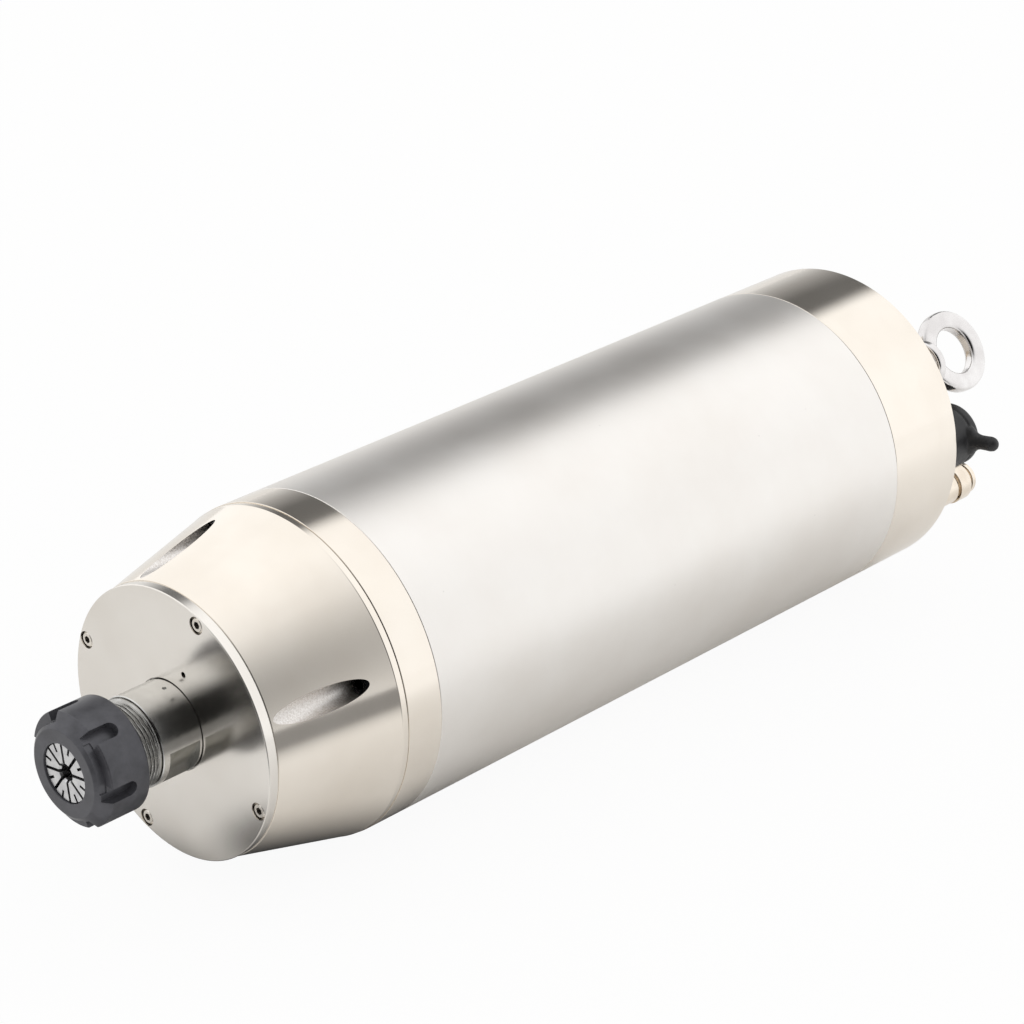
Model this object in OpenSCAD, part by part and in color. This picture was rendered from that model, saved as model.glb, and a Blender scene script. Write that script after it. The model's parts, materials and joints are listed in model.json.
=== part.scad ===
/* [Housing] */
// Diameter of the housing tube, front ring and rear cap
housing_d = 125; // [124:1:126]
// Length of the housing tube
body_l = 251.5; // [246:0.5:260]
// Length of the polished front ring
ring_l = 17.5; // [16:0.5:19]
// Length of the conical nose
nose_l = 47; // [45:0.2:48]
// Diameter of the cone behind the cover plate
nose_front_d = 101.6; // [101.2:0.2:103]
// Diameter at the wide end of the cone
nose_back_d = 124.4; // [123.6:0.2:124.4]
// Diameter of the cover plate
plate_d = 101; // [100.5:0.5:101]
// Thickness of the cover plate at its rim
plate_t = 4; // [3.8:0.2:5]
// Length of the polished rear cap
cap_l = 38.5; // [34:0.5:40]

/* [Clock angles, from +X towards +Z] */
// Cover plate screws and vent hole
plate_clock = 70; // [0:1:90]
// Screw pockets in the cone
pocket_clock = 21; // [0:1:90]
// Rear cap screws
cap_screw_clock = 22.5; // [20:0.5:24]
// Dust cap and receptacle
socket_clock = 1; // [0:1:2]
// Lifting eye
eye_clock = 40; // [38:1:44]
// First water fitting
fitting_clock = -30; // [-32:1:-26]

/* [Tool end] */
// Bore of the collet
collet_bore_d = 6; // [3:1:10]
// Outer diameter of the clamping nut
nut_d = 42; // [42:0.5:43]
// Gap between the cover plate and the clamping nut
nut_gap = 26.3; // [24:0.1:28]
// Diameter of the shaft where it leaves the cover plate
journal_d = 33.4; // [33:0.1:34]
// Width across the two spanner flats
flats_w = 30; // [28:0.5:31]

/* [Motor] */
// Length of the rotor and stator cores
core_l = 120; // [90:5:140]
// Stator slots
stator_slots = 24; // [12:6:30]
// Rotor bars
rotor_bars = 30; // [18:2:34]

/* [Rear end] */
// Distance of the rear fittings from the axis
socket_offset = 47; // [46:0.5:47]
// Height of the lifting eye's centre over the rear face
eye_h = 27; // [27:1:30]
// Length of a water fitting
fitting_l = 32; // [30:1:36]
// Tube that the water fittings take
hose_d = 8; // [6:1:8]

/* [Hidden] */
$fn = 96;
EPS = 0.01;

// Stations are distances behind the cover plate's front face, in mm
nose_s = plate_t;
ring_s = nose_s + nose_l;
tube_s = ring_s + ring_l;
cap_s = tube_s + body_l;
rear_s = cap_s + cap_l;
mid_s = tube_s + body_l / 2;

housing_r = housing_d / 2;
edge = 0.4;
plate_edge = 0.7;
land_l = 3.5;
fit = 0.05;
tube_in_r = 52;
spigot_r = tube_in_r - fit;

// Plate screws and the nose
plate_screw_r = 46.9;
plate_head_r = 2.75;
plate_head_h = 2.2;
plate_recess_r = 3.1;
pocket_r = 4.75;
pocket_offset = 55.9;
pocket_s = 45;
nose_screw_r = 2.5;
nose_head_r = 4.25;
nose_head_h = 5;
nose_screw_end_s = tube_s + 15;

// Front bearings
bearing_r = 31;
bearing_bore_r = 17.5;
front_bearing_s = 9.8;
front_w = 14;
front_gap = 6;
front_ball_r = 3.9;
front_pitch_r = 24.25;
front_ball_n = 16;
front_end_s = front_bearing_s + 2 * front_w + front_gap;

// Rear bearings
rear_bearing_r = 23.5;
rear_bore_r = 12.5;
rear_bearing_s = cap_s - 32;
rear_w = 12;
rear_gap = 4;
rear_ball_r = 3.2;
rear_pitch_r = 18;
rear_ball_n = 14;
rear_end_s = rear_bearing_s + 2 * rear_w + rear_gap;

// Shaft and tool end
nut_l = 20;
nut_s = -nut_gap - nut_l;
thread_core_r = 15.1;
thread_s = -17;
shaft_face_s = nut_s + 8.3;
taper_half = 8;
taper_mouth_r = 13;
taper_l = 28;
seat_r = 18;
shoulder_r = 22;
shoulder_end_s = front_end_s + 18;
journal_r = journal_d / 2;
shaft_end_s = rear_end_s + 13;

// Clamping nut
nut_r = nut_d / 2;
nut_face_r = 15.9;
nut_chamfer_l = 4;
nut_hole_r = 10.9;
nut_slots = 6;
nut_slot_w = 5.6;
nut_slot_l = 14;
nut_slot_floor_r = 17.6;
nut_clock = 55;
nut_recess_l = 3.8;
nut_recess_r = 17.2;
nut_bore_r = thread_core_r + 0.08;
nut_lip_r = 12.1;

// Collet
collet_s = nut_s + 0.7;
collet_l = 34;
collet_r = 13;
collet_face_r = 10.6;
collet_clock = 8.5;
collet_slits = 8;
slit_w = 0.62;
rear_slit_w = 0.4;

// Motor
jacket_s = tube_s + 8;
jacket_l = body_l - 29.1;
pipe_offset = 49;
pipe_r = 1.5;
jacket_r = tube_in_r - 0.06;
stator_r = 46.9;
stator_in_r = 28;
rotor_r = 27.5;
core_s = shoulder_end_s + 56;
slot_out_r = 40;
winding_head_l = 24;

// Rear end
wall_t = 8;
cap_spigot_l = 8;
cap_screw_offset = 56;
eye_offset = 47.9;
eye_ring_r = 13.3;
eye_twist = -4;
eye_shank_l = 12;
eye_stand_off = 7;
fitting_offset = 50.3;
fitting_r = 7.25;
ring_travel = 1.5;
shell_r = 11;
shell_h = 12.5;
cap_h = 17;
cap_dome_h = 5;
cap_r = 14;
cap_tab_clock = 8;
lead_r = 1.5;
lead_offset = 39.5;

STEEL = [0.78, 0.77, 0.74];
SATIN = [0.72, 0.72, 0.71];
BLACK = [0.13, 0.13, 0.14];
GROUND = [0.62, 0.62, 0.61];
COPPER = [0.72, 0.42, 0.22];
ALLOY = [0.80, 0.81, 0.82];
RUBBER = [0.09, 0.09, 0.09];
NICKEL = [0.82, 0.78, 0.70];
BRASS = [0.76, 0.62, 0.34];

// Turns +Z of a turned piece into the machine axis, with station 0 on the plate
module on_axis() {
    translate([0, -mid_s, 0])
        rotate([-90, 0, 0])
            children();
}

// Puts a piece at a clock angle and a distance from the axis
module at_clock(angle, offset = 0) {
    rotate([0, 0, -angle])
        translate([offset, 0, 0])
            children();
}

module around(count, start = 0, offset = 0) {
    for (k = [0 : count - 1])
        at_clock(start + k * 360 / count, offset)
            children();
}

// A plain ring between two stations
module tube(from_s, to_s, inner_r, outer_r) {
    rotate_extrude()
        translate([inner_r, from_s])
            square([outer_r - inner_r, to_s - from_s]);
}

module rod(from_s, to_s, r) {
    translate([0, 0, from_s])
        cylinder(h = to_s - from_s, r = r);
}

// A socket head screw whose head starts at head_s and points back
module socket_screw(head_s, head_h, head_r, shank_r, end_s, key_w) {
    difference() {
        union() {
            rod(head_s, head_s + head_h, head_r);
            rod(head_s + head_h - EPS, end_s, shank_r);
        }
        translate([0, 0, head_s - EPS])
            cylinder(h = head_h * 0.55, r = key_w / sqrt(3), $fn = 6);
    }
}

// The same screw put in from the rear, pointing forward
module socket_screw_rear(head_s, head_h, head_r, shank_r, end_s, key_w) {
    difference() {
        union() {
            rod(head_s - head_h, head_s, head_r);
            rod(end_s, head_s - head_h + EPS, shank_r);
        }
        translate([0, 0, head_s - head_h * 0.55 + EPS])
            cylinder(h = head_h * 0.55, r = key_w / sqrt(3), $fn = 6);
    }
}

// Tool end

// Black clamping nut: six slots for the spanner and three cut back arcs
module clamping_nut() {
    color(BLACK) on_axis()
        difference() {
            rotate_extrude()
                polygon([
                    [nut_hole_r, nut_s],
                    [nut_face_r, nut_s],
                    [nut_r, nut_s + nut_chamfer_l],
                    [nut_r, nut_s + nut_l - 0.6],
                    [nut_r - 0.6, nut_s + nut_l],
                    [nut_bore_r + 0.8, nut_s + nut_l],
                    [nut_bore_r, nut_s + nut_l - 0.8],
                    [nut_bore_r, shaft_face_s - 0.3],
                    [nut_lip_r, shaft_face_s - 0.6],
                    [nut_lip_r, shaft_face_s - 1.9],
                    [collet_r + 0.1, shaft_face_s - 2.3],
                    [collet_r + 0.1, nut_cone_s(collet_r + 0.1)],
                    [nut_hole_r, nut_cone_s(nut_hole_r)]
                ]);
            around(nut_slots, nut_clock)
                nut_slot();
            around(nut_slots / 2, nut_clock - 360 / nut_slots)
                nut_recess();
        }
}

// Station where the nut's inner cone, just clear of the collet's, has radius r
function nut_cone_s(r) = collet_s + (r - 0.1 - collet_face_r) / tan(30);

module nut_slot() {
    translate([nut_slot_floor_r, 0, nut_s]) {
        translate([0, -nut_slot_w / 2, -1])
            cube([8, nut_slot_w, nut_slot_l - nut_slot_w / 2 + 1]);
        translate([0, 0, nut_slot_l - nut_slot_w / 2])
            rotate([0, 90, 0])
                cylinder(h = 8, r = nut_slot_w / 2);
    }
}

// One arc from a slot to the next, cut back from the front face
module nut_recess() {
    sweep = 360 / nut_slots;
    rotate([0, 0, -sweep])
        translate([0, 0, nut_s - 1])
            rotate_extrude(angle = sweep)
                translate([nut_recess_r, 0])
                    square([8, nut_recess_l + 1]);
}

// Spring collet: front taper, pull groove, long taper, slit from both ends
module collet() {
    groove_s = collet_s + 5;
    taper_s = collet_s + 8.1;
    end_s = collet_s + collet_l;
    color(STEEL) on_axis()
        difference() {
            rotate_extrude()
                polygon([
                    [collet_bore_d / 2, collet_s],
                    [collet_face_r, collet_s],
                    [collet_r, collet_s + (collet_r - collet_face_r) / tan(30)],
                    [collet_r, groove_s],
                    [11.4, groove_s + 0.3],
                    [11.4, groove_s + 2.5],
                    [taper_r(taper_s) - 0.07, taper_s],
                    [taper_r(end_s) - 0.07, end_s - 0.5],
                    [taper_r(end_s) - 0.6, end_s],
                    [collet_bore_d / 2, end_s]
                ]);
            around(collet_slits, collet_clock)
                collet_slit(0, slit_w, collet_s - 1, end_s - 6);
            around(collet_slits, collet_clock + 180 / collet_slits) {
                collet_slit(8.3, slit_w, collet_s - 1, collet_s + 3);
                collet_slit(0, rear_slit_w, groove_s + 2.5, end_s + 1);
            }
        }
}

// Radius of the shaft's bored taper at a station
function taper_r(s) = taper_mouth_r - (s - shaft_face_s) * tan(taper_half);

module collet_slit(inner_r, w, from_s, to_s) {
    translate([inner_r, -w / 2, from_s])
        cube([16, w, to_s - from_s]);
}

// Spindle shaft: tapered mouth, thread core, journal, bearing and rotor seats
module spindle_shaft() {
    color(GROUND) on_axis()
        difference() {
            rotate_extrude()
                polygon([
                    [0, shaft_face_s],
                    [thread_core_r - 0.5, shaft_face_s],
                    [thread_core_r, shaft_face_s + 0.5],
                    [thread_core_r, thread_s],
                    [journal_r - 0.3, thread_s],
                    [journal_r, thread_s + 0.3],
                    [journal_r, 2],
                    [bearing_bore_r - fit, 2],
                    [bearing_bore_r - fit, front_end_s],
                    [shoulder_r, front_end_s],
                    [shoulder_r, shoulder_end_s],
                    [seat_r - fit, shoulder_end_s],
                    [seat_r - fit, core_s + core_l + 26],
                    [15, core_s + core_l + 30],
                    [15, rear_bearing_s],
                    [rear_bore_r - fit, rear_bearing_s],
                    [rear_bore_r - fit, rear_end_s + 8],
                    [10, rear_end_s + 9],
                    [10, shaft_end_s],
                    [0, shaft_end_s]
                ]);
            translate([0, 0, shaft_face_s - EPS])
                cylinder(h = taper_l, r1 = taper_mouth_r, r2 = taper_r(shaft_face_s + taper_l));
            rod(shaft_face_s + taper_l - 1, shaft_face_s + taper_l + 30, 8);
            for (side = [0, 1])
                at_clock(-27 + side * 180, flats_w / 2)
                    translate([0, -15, -14.3])
                        cube([5, 30, 13.2]);
            at_clock(82, journal_r - 0.5)
                translate([0, 0, -3.9])
                    rotate([0, 90, 0])
                        cylinder(h = 2, r = 0.8);
        }
}

// Front end

// Cover plate: face turned disc with a labyrinth bore and a locating spigot
module cover_plate() {
    lip_t = 1.8;
    color(STEEL) on_axis()
        difference() {
            rotate_extrude()
                polygon([
                    [journal_r + 0.35, 0],
                    [plate_d / 2 - plate_edge, 0],
                    [plate_d / 2, plate_edge],
                    [plate_d / 2, plate_t],
                    [bearing_r - 0.1, plate_t],
                    [bearing_r - 0.1, front_bearing_s],
                    [25.6, front_bearing_s],
                    [25.6, lip_t],
                    [journal_r + 0.35, lip_t]
                ]);
            around(4, plate_clock, plate_screw_r) {
                rod(-1, plate_head_h + 0.3, plate_recess_r);
                rod(-1, plate_t + 1, 1.7);
            }
            at_clock(plate_clock, 23.8)
                rod(-1, lip_t + 1, 1.1);
        }
}

module plate_screws() {
    color(STEEL) on_axis()
        around(4, plate_clock, plate_screw_r)
            socket_screw(0.3, plate_head_h, plate_head_r, 1.45, 15, 2.5);
}

// Conical nose: bearing bore inside, four screw pockets bored into the cone
module nose_housing() {
    color(STEEL) on_axis()
        difference() {
            rotate_extrude()
                polygon([
                    [bearing_r, nose_s],
                    [nose_front_d / 2, nose_s],
                    [nose_back_d / 2, ring_s - land_l],
                    [nose_back_d / 2, ring_s - 0.5],
                    [nose_back_d / 2 - 0.5, ring_s],
                    [45, ring_s],
                    [45, ring_s + 4.5],
                    [28, ring_s + 4.5],
                    [28, front_end_s],
                    [bearing_r, front_end_s]
                ]);
            around(4, pocket_clock, pocket_offset) {
                rod(-1, pocket_s, pocket_r);
                rod(pocket_s - 1, ring_s + 1, nose_screw_r + 0.25);
            }
            around(4, plate_clock, plate_screw_r)
                rod(nose_s - 1, 16, 1.5);
        }
}

module nose_screws() {
    color(BLACK) on_axis()
        around(4, pocket_clock, pocket_offset)
            socket_screw(pocket_s - nose_head_h, nose_head_h, nose_head_r,
                nose_screw_r - 0.1, nose_screw_end_s, 4);
}

// Polished ring between the nose and the tube
module front_ring() {
    color(STEEL) on_axis()
        difference() {
            rotate_extrude()
                polygon([
                    [36, ring_s + 5],
                    [45 + fit, ring_s + 5],
                    [45 + fit, ring_s],
                    [housing_r - 0.8, ring_s],
                    [housing_r, ring_s + 2.2],
                    [housing_r, tube_s - edge],
                    [housing_r - edge, tube_s],
                    [spigot_r, tube_s],
                    [spigot_r, tube_s + 7],
                    [48, tube_s + 7],
                    [36, tube_s - 4]
                ]);
            around(4, pocket_clock, pocket_offset)
                rod(ring_s - 1, tube_s + 1, nose_screw_r + 0.25);
            o_ring_groove(tube_s + 3.2);
        }
}

module o_ring_groove(s) {
    tube(s - 0.9, s + 0.9, spigot_r - 1.2, spigot_r + 1);
}

// Satin housing tube, tapped at both ends
module housing_tube() {
    color(SATIN) on_axis()
        difference() {
            rotate_extrude()
                polygon([
                    [tube_in_r, tube_s],
                    [housing_r - edge, tube_s],
                    [housing_r, tube_s + edge],
                    [housing_r, cap_s - edge],
                    [housing_r - edge, cap_s],
                    [tube_in_r, cap_s]
                ]);
            around(4, pocket_clock, pocket_offset)
                rod(tube_s - 1, tube_s + 17, nose_screw_r);
            around(4, cap_screw_clock, cap_screw_offset)
                rod(cap_s - 15, cap_s + 1, 2);
        }
}

module o_rings() {
    color(RUBBER) on_axis()
        for (s = [tube_s + 3.2, cap_s - 3.2])
            rotate_extrude()
                translate([spigot_r - 0.6, s])
                    circle(r = 0.58);
}

// Water jacket: ring channels joined by gaps that send the water round each
module water_jacket() {
    channels = 9;
    land = 5;
    pitch = (jacket_l - land) / channels;
    color(BRASS) on_axis()
        difference() {
            tube(jacket_s, jacket_s + jacket_l, stator_r + 0.06, jacket_r);
            for (k = [0 : channels - 1])
                tube(jacket_s + land + k * pitch, jacket_s + (k + 1) * pitch, jacket_r - 3, jacket_r + 1);
            for (k = [1 : channels - 1])
                at_clock(fitting_clock + 180 * (k % 2), jacket_r - 3)
                    translate([0, -6, jacket_s + k * pitch - 1])
                        cube([5, 12, land + 2]);
            for (side = [0, 1])
                at_clock(fitting_clock + 180 * side, pipe_offset)
                    rod(jacket_s + jacket_l - land - 1, jacket_s + jacket_l + 1, pipe_r + 0.05);
        }
}

// Two short pipes from the jacket to the water ways of the rear cap
module water_pipes() {
    color(NICKEL) on_axis()
        for (side = [0, 1])
            at_clock(fitting_clock + 180 * side, pipe_offset)
                tube(jacket_s + jacket_l - 4.5, cap_s - 2, pipe_r - 0.6, pipe_r);
}

// Motor

// Trapezoid slot outline, shrunk on every side by gap
module slot_outline(gap = 0) {
    inner_w = 3.2 - gap;
    outer_w = 5.6 - gap;
    polygon([
        [stator_in_r + 3 + gap, -inner_w / 2],
        [slot_out_r - gap, -outer_w / 2],
        [slot_out_r - gap, outer_w / 2],
        [stator_in_r + 3 + gap, inner_w / 2]
    ]);
}

module stator_core() {
    color(GROUND) on_axis()
        translate([0, 0, core_s])
            linear_extrude(core_l)
                difference() {
                    circle(r = stator_r);
                    circle(r = stator_in_r);
                    around(stator_slots) {
                        slot_outline();
                        translate([stator_in_r - 1, -0.8])
                            square([5, 1.6]);
                    }
                }
}

// Coil sides in the slots and the two wound heads in one varnished piece
module stator_windings() {
    color(COPPER) on_axis()
        union() {
            translate([0, 0, core_s - 3])
                linear_extrude(core_l + 6)
                    around(stator_slots)
                        slot_outline(0.3);
            for (s = [core_s - winding_head_l - 1, core_s + core_l + 1])
                rotate_extrude()
                    winding_head(s, winding_head_l);
        }
}

module winding_head(s, l) {
    r = 3;
    in_r = stator_in_r + 3;
    translate([in_r, s + r])
        square([slot_out_r - in_r + 3, l - 2 * r]);
    translate([in_r + r, s])
        square([slot_out_r - in_r + 3 - 2 * r, l]);
    for (x = [in_r + r, slot_out_r + 3 - r])
        for (y = [s + r, s + l - r])
            translate([x, y])
                circle(r = r);
}

module rotor_core() {
    color(GROUND) on_axis()
        difference() {
            tube(core_s, core_s + core_l, seat_r, rotor_r);
            around(rotor_bars, 0, rotor_r - 3)
                rod(core_s - 1, core_s + core_l + 1, 1.7);
        }
}

module rotor_cage() {
    color(ALLOY) on_axis()
        union() {
            for (s = [core_s - 8, core_s + core_l])
                tube(s, s + 8, rotor_r - 6, rotor_r - 0.3);
            around(rotor_bars, 0, rotor_r - 3)
                rod(core_s - 4, core_s + core_l + 4, 1.65);
        }
}

module balance_rings() {
    color(BRASS) on_axis()
        for (s = [core_s - 17, core_s + core_l + 9])
            difference() {
                tube(s, s + 8, seat_r, rotor_r - 0.8);
                around(12, 15, 23)
                    rod(s - 1, s + 4, 1.25);
            }
}

// Bearings

module race_pair(start_s, w, gap, inner_r, outer_r, pitch_r, ball_r) {
    for (s = [start_s, start_s + w + gap])
        difference() {
            tube(s, s + w, inner_r, outer_r);
            rotate_extrude()
                translate([pitch_r, s + w / 2])
                    circle(r = ball_r + 0.12);
        }
}

module ball_pair(start_s, w, gap, pitch_r, ball_r, count) {
    for (s = [start_s + w / 2, start_s + w + gap + w / 2])
        around(count, 90 / count, pitch_r)
            translate([0, 0, s])
                sphere(r = ball_r, $fn = 48);
}

module cage_pair(start_s, w, gap, pitch_r, ball_r, count, half_w, half_t) {
    for (s = [start_s + w / 2, start_s + w + gap + w / 2])
        difference() {
            tube(s - half_w, s + half_w, pitch_r - half_t, pitch_r + half_t);
            around(count, 90 / count, pitch_r)
                translate([-half_t - 0.65, 0, s])
                    rotate([0, 90, 0])
                        cylinder(h = 2 * half_t + 1.3, r = ball_r + 0.15, $fn = 32);
        }
}

module front_outer_races() {
    color(STEEL) on_axis()
        race_pair(front_bearing_s, front_w, front_gap, 26.9, bearing_r - fit, front_pitch_r, front_ball_r);
}

module front_inner_races() {
    color(STEEL) on_axis()
        race_pair(front_bearing_s, front_w, front_gap, bearing_bore_r, 21.6, front_pitch_r, front_ball_r);
}

module front_balls() {
    color(STEEL) on_axis()
        ball_pair(front_bearing_s, front_w, front_gap, front_pitch_r, front_ball_r, front_ball_n);
}

module front_cages() {
    color(BRASS) on_axis()
        cage_pair(front_bearing_s, front_w, front_gap, front_pitch_r, front_ball_r, front_ball_n, 5.6, 1.3);
}

module front_outer_spacer() {
    color(GROUND) on_axis()
        tube(front_bearing_s + front_w, front_bearing_s + front_w + front_gap, 27.5, bearing_r - fit);
}

module front_inner_spacer() {
    color(GROUND) on_axis()
        tube(front_bearing_s + front_w, front_bearing_s + front_w + front_gap, bearing_bore_r, 21);
}

// Nut that clamps the inner races; its rim runs inside the cover plate
module front_bearing_nut() {
    color(GROUND) on_axis()
        difference() {
            tube(2.6, front_bearing_s, bearing_bore_r, 25.2);
            around(4, 45)
                translate([24, -2.5, 2])
                    cube([4, 5, 4]);
        }
}

module rear_outer_races() {
    color(STEEL) on_axis()
        race_pair(rear_bearing_s, rear_w, rear_gap, 20.1, rear_bearing_r - fit, rear_pitch_r, rear_ball_r);
}

module rear_inner_races() {
    color(STEEL) on_axis()
        race_pair(rear_bearing_s, rear_w, rear_gap, rear_bore_r, 15.9, rear_pitch_r, rear_ball_r);
}

module rear_balls() {
    color(STEEL) on_axis()
        ball_pair(rear_bearing_s, rear_w, rear_gap, rear_pitch_r, rear_ball_r, rear_ball_n);
}

module rear_cages() {
    color(BRASS) on_axis()
        cage_pair(rear_bearing_s, rear_w, rear_gap, rear_pitch_r, rear_ball_r, rear_ball_n, 4.6, 1.1);
}

module rear_outer_spacer() {
    color(GROUND) on_axis()
        tube(rear_bearing_s + rear_w, rear_bearing_s + rear_w + rear_gap, 20.5, rear_bearing_r - fit);
}

module rear_inner_spacer() {
    color(GROUND) on_axis()
        tube(rear_bearing_s + rear_w, rear_bearing_s + rear_w + rear_gap, rear_bore_r, 15.4);
}

module rear_bearing_nut() {
    color(GROUND) on_axis()
        difference() {
            tube(rear_end_s, rear_end_s + 7, rear_bore_r, 17.5);
            around(4, 45)
                translate([16, -2, rear_end_s + 3.5])
                    cube([4, 4, 5]);
        }
}

// Disc that holds the rear bearings in the tube, cut out for water and leads
module rear_bearing_housing() {
    color(ALLOY) on_axis()
        difference() {
            rotate_extrude()
                polygon([
                    [20.6, rear_bearing_s - 4],
                    [32, rear_bearing_s - 4],
                    [34, cap_s - 21],
                    [spigot_r, cap_s - 21],
                    [spigot_r, cap_s - cap_spigot_l],
                    [34, cap_s - cap_spigot_l],
                    [32, rear_end_s + 4],
                    [rear_bearing_r, rear_end_s + 4],
                    [rear_bearing_r, rear_bearing_s],
                    [20.6, rear_bearing_s]
                ]);
            for (side = [0, 1])
                at_clock(fitting_clock + 180 * side, pipe_offset + 1)
                    rod(cap_s - 22, cap_s - 7, 4);
            at_clock(socket_clock, lead_offset)
                rod(cap_s - 22, cap_s - 7, 5.5);
            around(4, 45, 28)
                rod(rear_end_s - 6, rear_end_s + 5, 1.25);
        }
}

// Cover behind the rear bearings, with the spring pockets
module rear_bearing_cover() {
    color(ALLOY) on_axis()
        difference() {
            tube(rear_end_s + 4, rear_end_s + 10, 18.2, 32);
            around(8, 0, 21.6)
                rod(rear_end_s + 3, rear_end_s + 8, 1.7);
            around(4, 45, 28) {
                rod(rear_end_s, rear_end_s + 11, 1.7);
                rod(rear_end_s + 7, rear_end_s + 11, 3);
            }
        }
}

module bearing_cover_screws() {
    color(BLACK) on_axis()
        around(4, 45, 28)
            socket_screw_rear(rear_end_s + 10, 3, 2.75, 1.2, rear_end_s - 5, 2.5);
}

module preload_ring() {
    color(GROUND) on_axis()
        tube(rear_end_s, rear_end_s + 2.5, 20, rear_bearing_r - 0.1);
}

module preload_springs() {
    color(STEEL) on_axis()
        around(8, 0, 21.6)
            tube(rear_end_s + 2.5, rear_end_s + 8, 0.8, 1.5);
}

// Rear end

// Polished rear cap: a cup with bosses for the fittings
module rear_cap() {
    cavity_end_s = rear_s - wall_t;
    color(STEEL) on_axis()
        difference() {
            union() {
                rotate_extrude()
                    polygon([
                        [tube_in_r - 5, cap_s - cap_spigot_l],
                        [spigot_r, cap_s - cap_spigot_l],
                        [spigot_r, cap_s],
                        [housing_r - edge, cap_s],
                        [housing_r, cap_s + edge],
                        [housing_r, rear_s - 0.5],
                        [housing_r - 0.5, rear_s],
                        [0, rear_s],
                        [0, cavity_end_s],
                        [tube_in_r - 9, cavity_end_s],
                        [tube_in_r - 5, cavity_end_s - 4]
                    ]);
                for (side = [0, 1])
                    at_clock(fitting_clock + 180 * side, 45)
                        rod(cap_s - cap_spigot_l, cavity_end_s + 1, 6.5);
                at_clock(eye_clock, eye_offset)
                    rod(cavity_end_s - 8, cavity_end_s + 1, 8);
            }
            for (side = [0, 1])
                at_clock(fitting_clock + 180 * side, 0) {
                    translate([fitting_offset, 0, 0])
                        rod(rear_s - 9, rear_s + 1, 4.9);
                    translate([pipe_offset, 0, 0])
                        rod(cap_s - cap_spigot_l - 1, rear_s - 8, pipe_r + 0.05);
                }
            at_clock(eye_clock, eye_offset)
                rod(rear_s - eye_shank_l, rear_s + 1, 4);
            at_clock(socket_clock, socket_offset) {
                rod(cavity_end_s - 20, rear_s + 1, shell_r - 1.95);
                around(4, 45, 12.2)
                    rod(rear_s - 6, rear_s + 1, 1);
            }
            around(4, cap_screw_clock, cap_screw_offset) {
                rod(rear_s - 4.4, rear_s + 1, 3.8);
                rod(cap_s - 1, rear_s + 1, 2.25);
            }
            o_ring_groove(cap_s - 3.2);
        }
}

module rear_cap_screws() {
    color(BLACK) on_axis()
        around(4, cap_screw_clock, cap_screw_offset)
            socket_screw_rear(rear_s - 0.4, 4, 3.5, 1.9, cap_s - 13, 3);
}

// Threaded shell of the power receptacle with its flange
module socket_shell() {
    color(NICKEL) on_axis()
        at_clock(socket_clock, socket_offset)
            difference() {
                union() {
                    rod(rear_s, rear_s + 1.5, 13.6);
                    rod(rear_s - 14, rear_s + shell_h, 9);
                    rod(rear_s + 1, rear_s + shell_h, shell_r);
                }
                rod(rear_s - 15, rear_s + shell_h + 1, 8);
                around(4, 45, 12.2)
                    rod(rear_s - 1, rear_s + 2, 1.1);
            }
}

module socket_insulator() {
    color(BLACK) on_axis()
        at_clock(socket_clock, socket_offset)
            difference() {
                rod(rear_s - 12, rear_s + 1, 8 - 0.02);
                around(4, 45, 4)
                    rod(rear_s - 13, rear_s + 2, 1.3);
            }
}

module socket_pins() {
    color(BRASS) on_axis()
        at_clock(socket_clock, socket_offset)
            around(4, 45, 4) {
                rod(rear_s - 16, rear_s + 5, 1.25);
                translate([0, 0, rear_s + 5])
                    sphere(r = 1.25, $fn = 48);
            }
}

module socket_screws() {
    color(STEEL) on_axis()
        at_clock(socket_clock, socket_offset)
            around(4, 45, 12.2)
                rod(rear_s - 5, rear_s + 1.4, 0.95);
}

// Rubber dust cap: skirt, domed end and a pull tab on its edge
module dust_cap() {
    color(RUBBER) on_axis()
        at_clock(socket_clock, socket_offset)
            difference() {
                union() {
                    rotate_extrude()
                        polygon([
                            [0, rear_s + 1.8],
                            [cap_r - 0.5, rear_s + 1.8],
                            [cap_r, rear_s + 2.3],
                            for (a = [0 : 10 : 90])
                                [cap_r * cos(a), rear_s + cap_h + cap_dome_h * sin(a)]
                        ]);
                    at_clock(cap_tab_clock, 0)
                        dust_cap_tab();
                }
                rod(rear_s, rear_s + shell_h + 0.6, shell_r + 0.3);
            }
}

module dust_cap_tab() {
    tip = 22.9;
    translate([11, 0, rear_s + cap_h - 3.5])
        rotate([0, 90, 0]) {
            cylinder(h = tip - 11, r = 3);
            cylinder(h = 5.5, r1 = 6, r2 = 3);
            translate([0, 0, tip - 11])
                sphere(r = 3);
        }
}

// Four leads from the wound head to the receptacle's pins, bent once
module motor_leads() {
    head_end_s = core_s + core_l + winding_head_l + 1;
    color(RUBBER) on_axis()
        at_clock(socket_clock)
            for (a = [45 : 90 : 315]) {
                head = [lead_offset + 3 * cos(a), 3 * sin(a), head_end_s + 0.1];
                bend = [head.x, head.y, rear_s - 27];
                pin = [socket_offset + 4 * cos(a), 4 * sin(a), rear_s - 17.3];
                wire(head, bend);
                wire(bend, pin);
                translate(bend)
                    sphere(r = lead_r + 0.1, $fn = 64);
            }
}

module wire(from, to) {
    d = to - from;
    translate(from)
        rotate([0, acos(d.z / norm(d)), atan2(d.y, d.x)])
            cylinder(h = norm(d), r = lead_r);
}

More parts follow.
